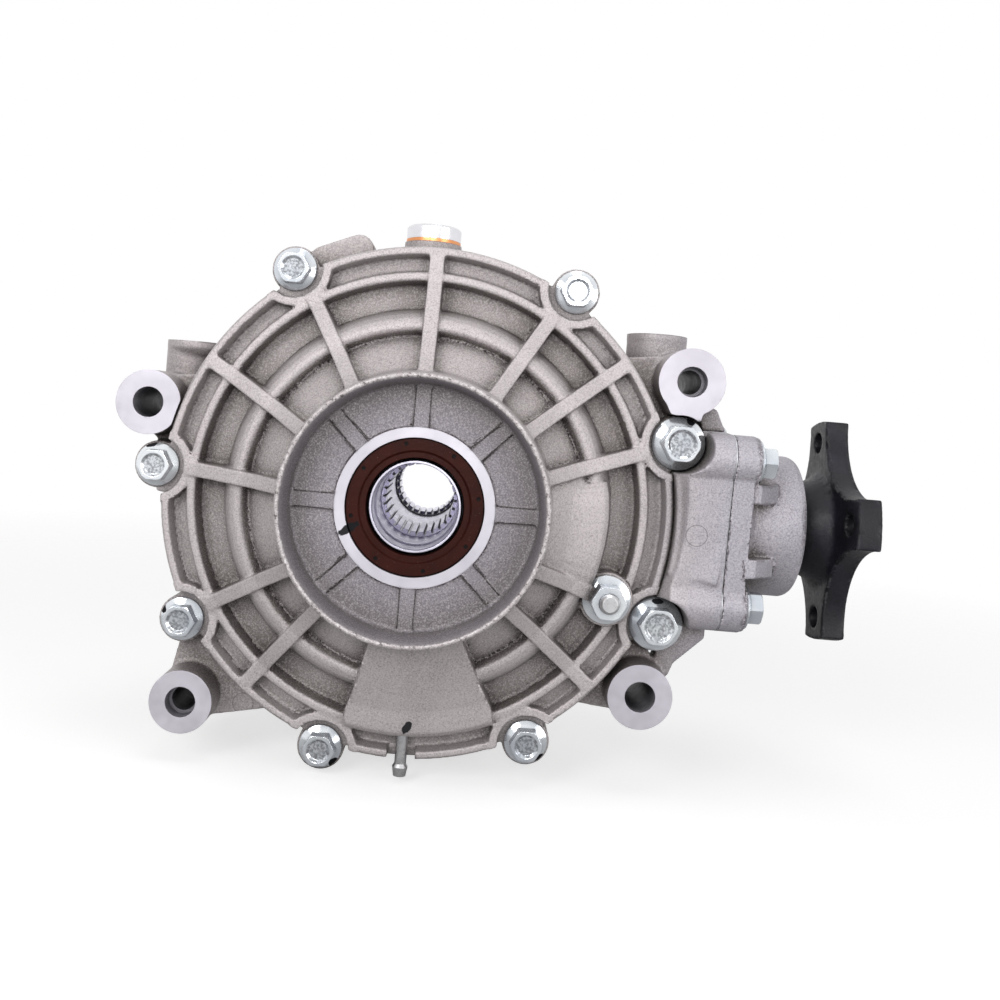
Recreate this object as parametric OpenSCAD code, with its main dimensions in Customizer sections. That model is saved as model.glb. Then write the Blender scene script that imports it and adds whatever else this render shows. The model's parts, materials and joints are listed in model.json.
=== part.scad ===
// Rear gearbox: a right-angle final drive with a spiral bevel gear pair.
// The origin is where the output axis (Y) meets the pinion axis (X), with +Z through the fill plug.
// The ribbed cover faces -Y, and the input flange faces +X.

/* [Casing] */
// Outer radius of the cover rim and of the casing's joint flange
rim_r = 105; // [103:0.5:107]
// Thickness of the wall round the cover rim
rim_wall = 3.5; // [2.5:0.25:4]
// Depth from the front of the rim to the joint face
rim_depth = 11.5; // [10:0.5:14]
// Distance of the joint face in front of the pinion axis
joint_to_axis = 20; // [19.5:0.25:22]
// Wall thickness of the castings
wall_t = 4.5; // [3.5:0.25:6]
// Radius of the gear chamber in the main case
chamber_r = 93; // [91:0.5:95]
// Distance of the rear end face behind the pinion axis
rear_reach = 108; // [105:0.5:115]
// Outer radius of the rear bearing hub
rear_hub_r = 44; // [42:0.5:50]
// Number of radial ribs on the rear cone
rear_rib_count = 12; // [8:1:16]

/* [Cover] */
// Radius of the hub cup
cup_r = 52.4; // [50:0.2:55]
// Height of the hub cup in front of the rim
cup_height = 34.5; // [30:0.5:38]
// Depth of the hub cup
cup_depth = 15.5; // [10:0.5:18]
// Thickness of the cup wall at its edge
cup_wall = 2.2; // [1.6:0.1:3]
// Radius of the machined ring round the seal
seal_ring_r = 31.4; // [30.5:0.1:34]
// Width of a rib at its top
rib_top_w = 4.6; // [3:0.1:5.5]
// Width that a rib gains at its foot from its draft
rib_draft = 2; // [1:0.25:4]
// Inner radius of the outer ring rib
ring_rib_r = 90.6; // [89:0.2:92]
// Outer radius of the sloped band
band_outer_r = 78.4; // [77:0.2:80]
// Inner radius of the sloped band
band_inner_r = 70.5; // [69:0.2:72]

/* [Output bearings and seals] */
// Bore of the output bearings
out_bearing_bore = 40; // [38:0.5:41]
// Outside diameter of the output bearings
out_bearing_od = 68; // [66:0.5:70]
// Width of the output bearings
out_bearing_w = 15; // [13:0.5:16]
// Diameter of a bearing ball
ball_d = 8; // [7:0.25:8.5]
// Balls in each row
ball_count = 10; // [8:1:11]
// Outside diameter of the output seals
out_seal_od = 54.6; // [52:0.2:58]
// Width of the output seals
out_seal_w = 7; // [6:0.5:8]
// Diameter of the sleeve where the seal runs
seal_land_d = 37.2; // [36.8:0.1:38]

/* [Output sleeve] */
// Number of spline teeth
spline_teeth = 28; // [20:1:34]
// Diameter at the spline roots
spline_root_d = 31.8; // [31:0.1:32]
// Height of a spline tooth
spline_h = 1.3; // [0.8:0.1:1.6]
// Diameter of the sleeve body
sleeve_body_d = 48; // [46:0.5:50]
// Diameter of the ring gear flange
gear_flange_d = 127; // [124:0.5:132]
// Thickness of the ring gear flange
gear_flange_t = 10; // [8:0.5:11]
// Pitch circle diameter of the ring gear bolts
gear_bolt_pcd = 108; // [106:0.5:110]
// Number of ring gear bolts
gear_bolt_count = 10; // [6:1:12]

/* [Bevel gears] */
// Module of the bevel teeth at their outer end
gear_module = 4; // [3.8:0.05:4.05]
// Teeth on the ring gear
ring_teeth = 36; // [34:1:37]
// Teeth on the pinion
pinion_teeth = 11; // [10:1:11]
// Length of the teeth along the pitch cone
face_w = 22; // [16:0.5:23]
// Spiral angle in the middle of a tooth
spiral_angle = 32; // [20:1:35]
// Pressure angle square to the tooth
pressure_angle = 20; // [18:0.5:22.5]
// Play between the flanks at the outer end
backlash = 0.5; // [0.4:0.05:0.8]
// Distance of the ring gear's back face behind the pinion axis
ring_back = 37; // [36:0.5:39]
// Diameter of the ring gear's bore
ring_bore_d = 88; // [84:0.5:90]

/* [Pinion and input flange] */
// Distance from the output axis to the neck's end face
neck_reach = 125.5; // [125:0.5:128]
// Half width of the square neck and housing flange
neck_half = 38; // [37:0.25:40]
// Distance of the housing bolts from the pinion axis, sideways and upwards
housing_bolt_pos = 30; // [29.5:0.25:31]
// Radius of the bolt lobes at the corners of the neck
neck_lobe_r = 10.5; // [10:0.25:12]
// Turn of the neck's square about the pinion axis
neck_turn = 4; // [0:0.5:5]
// Thickness of the pinion housing's flange
housing_flange_t = 10.5; // [9:0.5:13]
// Radius of the pinion housing's nose
nose_r = 30.5; // [30:0.1:32]
// Length of the nose past the flange
nose_l = 23.5; // [22:0.5:25]
// Outside diameter of the pinion bearing
pin_bearing_od = 55; // [54:0.5:55.5]
// Bore of the pinion bearing
pin_bearing_bore = 30; // [28:0.5:31]
// Width of the double-row pinion bearing
pin_bearing_w = 24; // [23:0.5:25]
// Outside diameter of the input seal
in_seal_od = 52; // [48:0.5:54]
// Width of the input seal
in_seal_w = 8; // [7:0.5:9]
// Diameter of the flange hub where the seal runs
flange_hub_d = 35; // [34.5:0.5:37]
// Reach of the flange ears from the pinion axis
ear_reach = 47.4; // [46:0.2:50]
// Width of a flange ear
ear_w = 20; // [18:0.5:21]
// Radius of the flange between its ears
ear_waist_r = 27.5; // [26:0.5:30]
// Thickness of the flange plate
ear_t = 10; // [8:0.5:12]
// Pitch circle diameter of the flange holes
ear_hole_pcd = 76; // [73:0.5:77]
// Diameter of the flange holes
ear_hole_d = 9; // [8:0.5:10]
// Distance from the output axis to the flange's outer face
flange_reach = 184; // [183:0.5:187]
// Turn of the ears in the rest pose, the ear at the front rising
ear_turn = 9; // [0:1:15]

/* [Mounting bosses] */
// Diameter of the mounting bosses
boss_d = 25.8; // [24:0.2:28]
// Diameter of the mounting holes at their mouth
boss_hole_d = 12.5; // [11:0.25:13.5]
// Depth of the counterbore of the two tapped mounting holes
counterbore_l = 6; // [3:0.5:8]
// Length of the mounting bosses
boss_l = 62; // [50:1:70]
// Diameter at the top of the side pillars
pillar_d = 27; // [24:0.5:28]
// Diameter of the tapped holes in the pillars
pillar_hole_d = 8.5; // [7:0.25:9]

/* [Fasteners] */
// Radius of the circle of the cover bolts
cover_bolt_r = 108.5; // [108:0.25:110]
// Radius of the circle of the two large cover bolts
large_bolt_r = 110.25; // [109:0.25:111]
// Distance of the bolt seats behind the rim's front
seat_drop = 5.5; // [4:0.25:6]
// Radius of the relief cut into the rim round each bolt
scallop_r = 12; // [11.5:0.1:12.5]
// Thread diameter of the small bolts
small_d = 8; // [7:0.25:8.5]
// Thread diameter of the two large bolts
large_d = 10; // [9:0.25:10.5]
// Diameter of the fill plug's head
plug_head_d = 24; // [22:0.5:26]
// Height of the fill plug's head
plug_head_h = 6; // [4:0.5:9]

/* [Hidden] */
$fn = 96;
cast = "#bdb8b5";
machined = "#cfccd2";
steel = "#a9adb5";
zinc = "#c9ced8";
dark_rubber = "#2b2422";
seal_brown = "#43190f";
flange_black = "#1d1b21";
copper = "#c4723c";

// Small gaps: between pieces that seat in each other, and between pieces that move past each other
seat_gap = 0.1;
run_gap = 0.3;

// Planes along Y
joint_y = -joint_to_axis;
rim_y = joint_y - rim_depth;
cup_y = rim_y - cup_height;
cup_floor_y = cup_y + cup_depth;
seat_y = rim_y + seat_drop;
pocket_y = joint_y - wall_t;
dome_rise = 9.5;
cone_rise = 8;

// Output bearings, seals and sleeve along Y
pitch_r = (out_bearing_bore + out_bearing_od) / 4;
groove_r = ball_d / 2 + run_gap;
race_lip = 0.58 * ball_d / 2;
near_seal_y = cup_floor_y + 0.7;
seal_step = 1.5;
near_bearing_y = near_seal_y + out_seal_w + seal_step;
far_seal_y = rear_reach - 3.5 - out_seal_w;
far_shoulder_y = far_seal_y - 4;
shim_t = 0.5;
far_bearing_y = far_shoulder_y - shim_t - out_bearing_w;
sleeve_near_y = near_seal_y + 2.3;
sleeve_far_y = far_seal_y + out_seal_w + 1;
land_r = seal_land_d / 2;
lead_bore_r = 17;
pilot_bore_r = 16.5;
lead_bore_l = 13.5;
near_spline_y = [-10, 28];
far_spline_y = [far_bearing_y - 2, far_bearing_y + 20];
snap_y = far_spline_y[0] - 4;
snap_w = 1.8;
snap_r = pilot_bore_r + 0.9;
pilot_h = 8;

// Bevel gear pair, both cones with their apex at the origin
ring_pitch_r = gear_module * ring_teeth / 2;
pinion_pitch_r = gear_module * pinion_teeth / 2;
pinion_cone = atan(pinion_pitch_r / ring_pitch_r);
ring_cone = 90 - pinion_cone;
cone_dist = norm([ring_pitch_r, pinion_pitch_r]);
work_depth = 1.70 * gear_module;
tooth_depth = 1.888 * gear_module;
ring_add = gear_module * (0.46 + 0.39 * pow(pinion_teeth / ring_teeth, 2));
pinion_add = work_depth - ring_add;
ring_ded = tooth_depth - ring_add;
pinion_ded = tooth_depth - pinion_add;
trans_angle = atan(tan(pressure_angle) / cos(spiral_angle));
ring_thick = PI * gear_module / 2 - (pinion_add - ring_add) * tan(trans_angle);
pinion_thick = PI * gear_module - ring_thick;
virtual_r = pinion_pitch_r / cos(pinion_cone);
base_r = virtual_r * cos(trans_angle);
base_h = base_r - virtual_r;
tooth_sink = 0.6;
tooth_sections = 6;
blank_lip = 0.6;
ring_heights = [-ring_ded - tooth_sink, ring_add];
pinion_heights = [-pinion_ded - tooth_sink, for (t = [0, 0.35, 0.7, 1]) base_h + t * (pinion_add - base_h)];

// Pinion shaft and its housing along X
shaft_r = pin_bearing_bore / 2;
shoulder_r = shaft_r + 2;
neck_bore_r = pin_bearing_od / 2 + 4;
neck_floor_x = neck_reach - 6.5;
pin_bearing_x = neck_floor_x + 0.5;
hub_start_x = pin_bearing_x + pin_bearing_w + seat_gap;
housing_x = neck_reach + shim_t;
nose_x = housing_x + housing_flange_t;
nose_end_x = nose_x + nose_l;
in_seal_x = nose_end_x - 3 - in_seal_w;
plate_x = flange_reach - ear_t;
hub_r = flange_hub_d / 2;
input_spline_teeth = 22;
input_spline_r = 13;
input_spline_h = 1;
thread_r = 10;
nut_x = flange_reach - 5;
nut_h = 11;
washer_t = 2;
pin_pitch_r = (pin_bearing_bore + pin_bearing_od) / 4;
pin_rows = [pin_bearing_w / 2 - 5.7, pin_bearing_w / 2 + 5.7];
housing_bolt_grip = 8;
housing_bolts = [for (i = [0 : 3]) sqrt(2) * housing_bolt_pos * [cos(neck_turn + 45 + 90 * i), sin(neck_turn + 45 + 90 * i)]];
housing_lobe_t = 1.5;
wedge_z = 15;
wedge_t = 8;
wedge_l = 11.5;
neck_o_ring_x = housing_x - 3.2;

// Angles about the output axis, counterclockwise from +X as seen from the cover's side
small_bolt_angles = [57.5, 122.4, 176.4, 211, 252.9, 298.9];
large_bolt_angles = [17.3, 337.6];
dowel_angles = [small_bolt_angles[0], small_bolt_angles[3]];
rib_angles = [17, 38, 58.5, 90, 121.5, 150, 176, 210.5, 231, 317.5, 337.5];
cup_rib_count = 8;
cup_rib_angle = 0;

// Sizes of the fasteners, from the thread diameters
small_flange_d = 2.22 * small_d;
large_flange_d = 2.2 * large_d;
small_hex = 1.5 * small_d;
large_hex = 1.4 * large_d;
small_head_h = 0.9 * small_d;
large_head_h = 0.95 * large_d;
small_lobe_r = small_flange_d / 2 + 0.9;
large_lobe_r = large_flange_d / 2 + 0.5;
large_scallop_r = scallop_r + 0.7;
lobe_l = 24;
cover_flange_t = joint_y - seat_y;
small_grip = 18;
large_grip = 22;
dowel_wall = 1;
dowel_l = 9;
ring_bolt_grip = 11;

// The stud beside the pinion, its pad on the cover and its nut
stud_pos = [79.7, -32.5];
stud_pad_r = 11;
stud_pad_y = rim_y - 2;
stud_nut_d = 19.7;
stud_nut_h = 10;
stud_end_y = stud_pad_y - 12.5;
stud_root_y = 12;
stud_boss_r = 8.8;

// Mounting bosses: centre across (X) and up (Z), half width of the web where it meets the case, extra radius,
// and depth of the wide part of the hole
boss_ul = [-112.8, 32.2];
boss_ur = [108, 58.4];
boss_ll = [-89.8, -88.9];
boss_lr = [97.1, -71.6];
boss_thread_d = 10;
step_l = 16;
boss_webs = [[boss_ul, 22, 0.4, boss_l - step_l], [boss_ur, 24, 0.9, counterbore_l], [boss_ll, 34, 0, counterbore_l],
    [boss_lr, 28, 0.4, boss_l - step_l]];
boss_y = rim_y;
web_y = [joint_y + 3, joint_y + 15];
spine_t = 7;

// Tongue from the upper right boss to the large bolt, and gusset from that boss to the neck, in X and Z
tongue = [[97.5, 50], [118, 50], [113.3, 45.8], [112.5, 41.2], [108, 43.5], [100.3, 44.7]];
gusset = [[113.5, 50], [121, 48], [125, 39], [115, 39]];
gusset_y = [joint_y - 4, joint_y + 4];

// Side pillars: centre across (X), top (Z) and foot (Z)
pillars = [[-106.5, 60, -8], [100.2, 79.8, 20]];
pillar_lip = 2.5;
pillar_y = 14;
pillar_hole_l = 17;

// Top lug, fill boss and drain boss
pad_ends = [[-33.5, 103.5, 6], [-48, 97.5, 6], [-38, 88, 8]];
pad_y = [joint_y + 1, joint_y + 16];
fill_pos = [-3.7, 4];
fill_boss_r = 12.6;
fill_top_z = 111;
plug_thread_r = 9;
washer_h = 1.5;
drain_pos = [-2, 20];
drain_boss_z = -107;
drain_head_h = 6;

// Vent spigot at the bottom of the rim
spigot_x = 1.7;
spigot_y = rim_y + 1.5;
spigot_r = 2.4;
spigot_bore_r = 1.4;
spigot_root = rim_r - 15;
spigot_tip_z = -rim_r - 6.7;
spigot_notch = [11.5, 6.5];

// O-rings
o_ring_r = 1.05;
cover_o_ring_pos = 100.2;

// Turns local +Z to +Y, with local X kept and angles counted as seen from the cover's side
module about_y() rotate([90, 0, 0]) mirror([0, 0, 1]) children();
// Turns local +Z to +X
module about_x() rotate([90, 0, 90]) children();
// Turns a piece about the output axis
module at_angle(angle) rotate([0, -angle, 0]) children();
// Puts a piece built along +Z at a place in the XZ plane, pointing to -Y
module facing_front(pos, y) translate([pos[0], y, pos[1]]) rotate([90, 0, 0]) children();
// A straight cylinder along Y between two planes
module y_cylinder(pos, r, y0, y1) translate([pos[0], y0, pos[1]]) rotate([-90, 0, 0]) cylinder(r = r, h = y1 - y0);
// Places on the cover's two bolt circles
function bolt_pos(angle) = cover_bolt_r * [cos(angle), sin(angle)];
function large_bolt_place(angle) = large_bolt_r * [cos(angle), sin(angle)];
// A ring or disc made from its outline in radius and height
module ring(outline) rotate_extrude() polygon(outline);

// Flange bolt along Z: its seat at the origin, its head up, with a dished top
module flange_bolt(d, shank, flange_d, hex, head_h) {
    flange_h = 0.2 * d;
    union() {
        translate([0, 0, -shank]) cylinder(r1 = d / 2 - 0.8, r2 = d / 2, h = 0.8);
        translate([0, 0, 0.8 - shank]) cylinder(r = d / 2, h = shank - 0.8 + flange_h);
        cylinder(r = flange_d / 2, h = 0.6 * flange_h);
        translate([0, 0, 0.6 * flange_h])
            cylinder(r1 = flange_d / 2, r2 = hex / 2, h = 0.9 * flange_h);
        difference() {
            intersection() {
                cylinder(r = hex / sqrt(3), h = head_h, $fn = 6);
                cylinder(r1 = hex / 2 + head_h + 0.3, r2 = hex / 2 + 0.3, h = head_h);
            }
            translate([0, 0, head_h - 0.8]) cylinder(r1 = hex / 2 - 2.2, r2 = hex / 2 - 1.1, h = 0.81);
        }
    }
}

// Deep-groove race between two radii, with a groove for each row of balls
module race(r_in, r_out, w, pitch, rows)
    rotate_extrude() difference() {
        translate([r_in, 0]) square([r_out - r_in, w]);
        for (row = rows) translate([pitch, row]) circle(r = groove_r);
    }

// Rows of balls, and the cage that spaces them
module balls(pitch, rows)
    for (row = rows, i = [0 : ball_count - 1])
        rotate(i * 360 / ball_count) translate([pitch, 0, row]) sphere(d = ball_d, $fn = 32);

module cage(pitch, rows, w)
    difference() {
        ring([[pitch - 1.4, (rows[0] + rows[len(rows) - 1] - w) / 2], [pitch + 1.4, (rows[0] + rows[len(rows) - 1] - w) / 2],
            [pitch + 1.4, (rows[0] + rows[len(rows) - 1] + w) / 2], [pitch - 1.4, (rows[0] + rows[len(rows) - 1] + w) / 2]]);
        for (row = rows, i = [0 : ball_count - 1])
            rotate(i * 360 / ball_count) translate([pitch - 3, 0, row]) rotate([0, 90, 0]) cylinder(d = ball_d + 2 * seat_gap, h = 6);
    }

// Lip seal along Z with its outer face at zero: a stiff ring, a lip on the shaft and small dents
module lip_seal(r_out, r_shaft, w, dents) {
    lip_r = r_shaft + run_gap;
    difference() {
        ring([[r_out, 0.4], [r_out, w], [lip_r + 3.2, w], [lip_r + 3.2, 2.2], [lip_r + 1.6, 2.6], [lip_r + 1.6, w - 1],
            [lip_r, w - 2], [lip_r + 0.5, 0.9], [lip_r + 2.6, 0.9], [lip_r + 3.4, 0], [r_out - 0.5, 0]]);
        for (i = [0 : dents - 1]) rotate(i * 360 / dents + 12)
            translate([r_out - 2.2, 0, 0]) cube([1.3, 1.3, 1], center = true);
    }
}

// Internal spline along Z: the groove pattern between a root radius and a tip radius
module spline_bore(root, tip, teeth, l) {
    union() {
        cylinder(r = tip, h = l);
        for (i = [0 : teeth - 1]) rotate(i * 360 / teeth)
            linear_extrude(l) polygon([[tip - 1, -0.2 * 360 / teeth * PI / 180 * tip], [root, -0.15 * 360 / teeth * PI / 180 * tip],
                [root, 0.15 * 360 / teeth * PI / 180 * tip], [tip - 1, 0.2 * 360 / teeth * PI / 180 * tip]]);
    }
}

// Radial rib in the plane of X and Y, from one top point to another, with draft on its sides
module drafted_rib(from, to, depth) {
    foot_w = rib_top_w + rib_draft;
    edge = 0.7;
    translate([from[0], from[1], 0]) rotate([0, 0, atan2(to[1] - from[1], to[0] - from[0])]) about_x()
        linear_extrude(norm(to - from)) polygon([[0, edge - rib_top_w / 2], [0, rib_top_w / 2 - edge],
            [edge, rib_top_w / 2], [depth, foot_w / 2], [depth, -foot_w / 2], [edge, -rib_top_w / 2]]);
}

// Outer body of the cover before its chamber is cut
module cover_shell() {
    floor_y = [pocket_y - 1, pocket_y - 3, pocket_y - 3 - dome_rise, pocket_y - 3 - dome_rise - cone_rise];
    rim_in = rim_r - rim_wall;
    ridge_y = rim_y - 8.5;
    about_y() ring([[0, joint_y], [rim_r, joint_y], [rim_r, rim_y + 1.2], [rim_r - 0.9, rim_y], [rim_in + 0.4, rim_y],
        [rim_in, rim_y + 0.6], [rim_in - 0.7, floor_y[0]], [ring_rib_r + 4.4, floor_y[0] - 0.6],
        [ring_rib_r + 3.8, rim_y + 0.4], [ring_rib_r + 3.2, rim_y - 0.3], [ring_rib_r + 0.6, rim_y - 0.5],
        [ring_rib_r, rim_y + 0.2], [ring_rib_r - 0.9, floor_y[0] + 0.8], [band_outer_r + 1.2, floor_y[0]],
        [band_outer_r + 0.4, floor_y[1] - 3], [band_outer_r - 1.4, ridge_y + 4.5], [band_outer_r - 3.4, ridge_y + 1.7],
        [band_outer_r - 5.6, ridge_y + 0.2], [band_inner_r + 0.5, ridge_y], [band_inner_r - 0.7, ridge_y + 0.6],
        [band_inner_r - 1.5, ridge_y + 2], [band_inner_r - 2.3, floor_y[2] + 1.2], [cup_r + 2.2, floor_y[3]],
        [cup_r + 1.2, floor_y[3] - 2],
        [cup_r, cup_y + 1.4], [cup_r - 0.7, cup_y], [cup_r - cup_wall + 0.4, cup_y], [cup_r - cup_wall, cup_y + 0.6],
        [cup_r - cup_wall - 1.7, cup_floor_y - 1], [cup_r - cup_wall - 2.7, cup_floor_y],
        [seal_ring_r, cup_floor_y], [seal_ring_r, cup_floor_y - 0.5], [0, cup_floor_y - 0.5]]);
}

// Chamber of the cover with its bearing pocket and seal bore
module cover_chamber() {
    inner_y = [joint_y - 1.5, joint_y - 2.5 - dome_rise, joint_y - 0.5 - dome_rise - cone_rise];
    pocket_r = out_bearing_od / 2 + seat_gap;
    hub_end_y = near_bearing_y + out_bearing_w;
    about_y() ring([[0, joint_y + 1], [rim_r - 8, joint_y + 1], [rim_r - 8, joint_y], [band_outer_r + 0.6, inner_y[0]],
        [band_inner_r - 4.5, inner_y[1]], [pocket_r + 10, inner_y[2]], [pocket_r + 6, inner_y[2]],
        [pocket_r + 6, hub_end_y], [pocket_r, hub_end_y], [pocket_r, near_bearing_y],
        [out_seal_od / 2 - 3, near_bearing_y], [out_seal_od / 2 - 3, near_seal_y + out_seal_w],
        [out_seal_od / 2 + seat_gap, near_seal_y + out_seal_w], [out_seal_od / 2 + seat_gap, cup_floor_y - 2],
        [0, cup_floor_y - 2]]);
}

// Smooth bulges beside the cup: one over the pinion, one over the oil sump
module cover_bulges() {
    top_y = [pocket_y - 5.5, pocket_y - 5.5 - dome_rise, pocket_y - 8.5 - dome_rise - cone_rise];
    intersection() {
        about_y() ring([[0, joint_y], [band_outer_r, joint_y], [band_outer_r, top_y[0] - 2], [band_outer_r - 2, top_y[0] - 4.5],
            [band_inner_r - 2, top_y[1] - 1], [cup_r + 1, top_y[2]], [0, top_y[2]]]);
        rotate([90, 0, 0]) linear_extrude(-cup_y) polygon([[cup_r - 6, 17], [band_inner_r, 15.5], [band_outer_r, 9],
            [band_outer_r, -31], [band_inner_r, -29], [cup_r - 6, -20.5]]);
    }
    intersection() {
        about_y() ring([[0, joint_y], [ring_rib_r + 5.4, joint_y], [ring_rib_r + 5.4, rim_y + 1.5],
            [ring_rib_r + 4.6, rim_y - 1], [ring_rib_r + 2.6, rim_y - 2.8], [band_outer_r + 6, rim_y - 4.6],
            [band_outer_r - 2, rim_y - 8], [cup_r + 1, top_y[2]], [0, top_y[2]]]);
        at_angle(275) rotate([90, 0, 0]) linear_extrude(-cup_y)
            polygon([[cup_r - 6, -16.5], [band_inner_r, -24.5], [band_outer_r + 5, -29.8], [rim_r, -31.5],
                [rim_r, 31.5], [band_outer_r + 5, 29.8], [band_inner_r, 24.5], [cup_r - 6, 16.5]]);
    }
}

module cover_ribs() {
    knee = [band_outer_r + 0.5, rim_y - 2];
    crest = [band_inner_r, rim_y - 9];
    foot = [cup_r - 1, rim_y - 0.68 * cup_height];
    for (angle = rib_angles) at_angle(angle) {
        drafted_rib(knee, [rim_r - 1.5, rim_y + 0.3], 9);
        drafted_rib(crest, knee + [0.5, 0.4], 12);
        drafted_rib(foot, crest + [0.5, 0.4], 13);
    }
}

// U-shaped wall round each cover bolt, inside the rim
module cover_scallop_walls() {
    intersection() {
        union() {
            for (angle = small_bolt_angles) y_cylinder(bolt_pos(angle), scallop_r + rim_wall, rim_y, joint_y);
            for (angle = large_bolt_angles)
                y_cylinder(large_bolt_place(angle), large_scallop_r + rim_wall, rim_y, joint_y);
        }
        y_cylinder([0, 0], rim_r, rim_y, joint_y);
    }
}

module side_cover() {
    color(cast) difference() {
        union() {
            cover_shell();
            cover_ribs();
            cover_scallop_walls();
            cover_bulges();
            for (angle = small_bolt_angles) y_cylinder(bolt_pos(angle), small_lobe_r, seat_y, joint_y);
            for (angle = large_bolt_angles) y_cylinder(large_bolt_place(angle), large_lobe_r, seat_y, joint_y);
            y_cylinder(stud_pos, stud_pad_r, stud_pad_y, joint_y);
            for (i = [0 : cup_rib_count - 1]) at_angle(cup_rib_angle + i * 360 / cup_rib_count)
                translate([seal_ring_r - 1, cup_floor_y - 0.8, -3]) cube([cup_r - cup_wall - seal_ring_r, 3, 6]);
        }
        cover_chamber();
        y_cylinder(stud_pos, stud_pad_r + seat_gap, cup_y, stud_pad_y);
        for (angle = small_bolt_angles) {
            y_cylinder(bolt_pos(angle), scallop_r, rim_y - 40, seat_y);
            y_cylinder(bolt_pos(angle), small_d / 2 + run_gap, seat_y - 1, joint_y + 1);
        }
        for (angle = large_bolt_angles) {
            y_cylinder(large_bolt_place(angle), large_scallop_r, rim_y - 40, seat_y);
            y_cylinder(large_bolt_place(angle), large_d / 2 + run_gap, seat_y - 1, joint_y + 1);
        }
        for (angle = dowel_angles)
            y_cylinder(bolt_pos(angle), small_d / 2 + run_gap + dowel_wall + seat_gap, joint_y - dowel_l / 2, joint_y + 1);
        y_cylinder(stud_pos, small_d / 2 + run_gap, stud_pad_y - 1, joint_y + 1);
        about_y() ring([[cover_o_ring_pos - 1.4, joint_y + 1], [cover_o_ring_pos - 1.4, joint_y - 2 * o_ring_r],
            [cover_o_ring_pos + 1.4, joint_y - 2 * o_ring_r], [cover_o_ring_pos + 1.4, joint_y + 1]]);
        translate([spigot_x, spigot_y, -rim_r - 1]) cylinder(r = spigot_r + seat_gap, h = rim_r + 1 - spigot_root);
        translate([spigot_x - spigot_notch[0] / 2, rim_y - 1, -rim_r - 1]) cube([spigot_notch[0], spigot_notch[1], rim_wall + 2]);
    }
}

module cover_o_ring()
    color(dark_rubber) about_y() rotate_extrude() translate([cover_o_ring_pos, joint_y - o_ring_r]) circle(r = o_ring_r - 0.03, $fn = 24);

module cover_bolts_m8()
    color(zinc) for (angle = small_bolt_angles) facing_front(bolt_pos(angle), seat_y)
        flange_bolt(small_d, cover_flange_t + small_grip, small_flange_d, small_hex, small_head_h);

module cover_bolts_m10()
    color(zinc) for (angle = large_bolt_angles) facing_front(large_bolt_place(angle), seat_y)
        flange_bolt(large_d, cover_flange_t + large_grip, large_flange_d, large_hex, large_head_h);

module dowel_sleeves()
    color(steel) for (angle = dowel_angles) translate([bolt_pos(angle)[0], joint_y - dowel_l / 2 + seat_gap, bolt_pos(angle)[1]])
        rotate([-90, 0, 0]) ring([[small_d / 2 + run_gap, 0], [small_d / 2 + run_gap + dowel_wall, 0],
            [small_d / 2 + run_gap + dowel_wall, dowel_l - 2 * seat_gap], [small_d / 2 + run_gap, dowel_l - 2 * seat_gap]]);

module inner_stud()
    color(steel) union() {
        y_cylinder(stud_pos, small_d / 2, stud_end_y + 1, stud_root_y);
        facing_front(stud_pos, stud_end_y + 1) cylinder(r1 = small_d / 2, r2 = small_d / 2 - 1, h = 1);
    }

module inner_stud_nut()
    color(zinc) facing_front(stud_pos, stud_pad_y) difference() {
        union() {
            cylinder(r = stud_nut_d / 2, h = 1.2);
            translate([0, 0, 1.2]) cylinder(r1 = stud_nut_d / 2, r2 = small_hex / 2 + 0.3, h = 1.6);
            intersection() {
                cylinder(r = (small_hex + 1) / sqrt(3), h = stud_nut_h, $fn = 6);
                cylinder(r1 = small_hex / 2 + stud_nut_h + 0.8, r2 = small_hex / 2 + 0.8, h = stud_nut_h);
            }
        }
        translate([0, 0, -1]) cylinder(r = small_d / 2 + seat_gap, h = stud_nut_h + 2);
    }

// Outline of the neck and of the housing flange: a square with a lobe at each corner
module neck_outline(half) rotate(neck_turn) {
    square([2 * half, 2 * housing_bolt_pos], center = true);
    square([2 * housing_bolt_pos, 2 * half], center = true);
    for (a = [-1, 1], b = [-1, 1]) translate([a, b] * housing_bolt_pos) circle(r = neck_lobe_r);
}

// Flat plate between two planes across Y, its outline given in X and Z
module plate(outline, y) translate([0, y[1], 0]) rotate([90, 0, 0]) linear_extrude(y[1] - y[0]) polygon(outline);

// Flat web from a boss to the case, in the XZ plane
module web(pos, boss_half, case_half, y0, y1) {
    angle = atan2(pos[1], pos[0]);
    at_angle(angle) translate([0, y1, 0]) rotate([90, 0, 0]) linear_extrude(y1 - y0)
        polygon([[norm(pos), -boss_half], [norm(pos), boss_half], [chamber_r + 1, case_half], [chamber_r + 1, -case_half]]);
}

// Outer body of the main case: flange, drum, rear cone and rear hub
module case_shell() {
    drum_r = chamber_r + wall_t + 1.5;
    back_y = 0.48 * rear_reach;
    cone_y = 0.75 * rear_reach;
    about_y() ring([[0, joint_y], [rim_r, joint_y], [rim_r, joint_y + 8], [drum_r, joint_y + 12], [drum_r, back_y - 4],
        [drum_r - 3, back_y + 1], [rear_hub_r + 8, cone_y], [rear_hub_r + 1, cone_y + 7], [rear_hub_r, rear_reach - 1.5],
        [rear_hub_r - 1.5, rear_reach], [0, rear_reach]]);
    for (i = [0 : rear_rib_count - 1]) at_angle((i + 0.5) * 360 / rear_rib_count) mirror([0, 1, 0])
        drafted_rib([rear_hub_r - 2, -0.93 * rear_reach], [drum_r - 1, 4 - back_y], 16);
}

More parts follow.
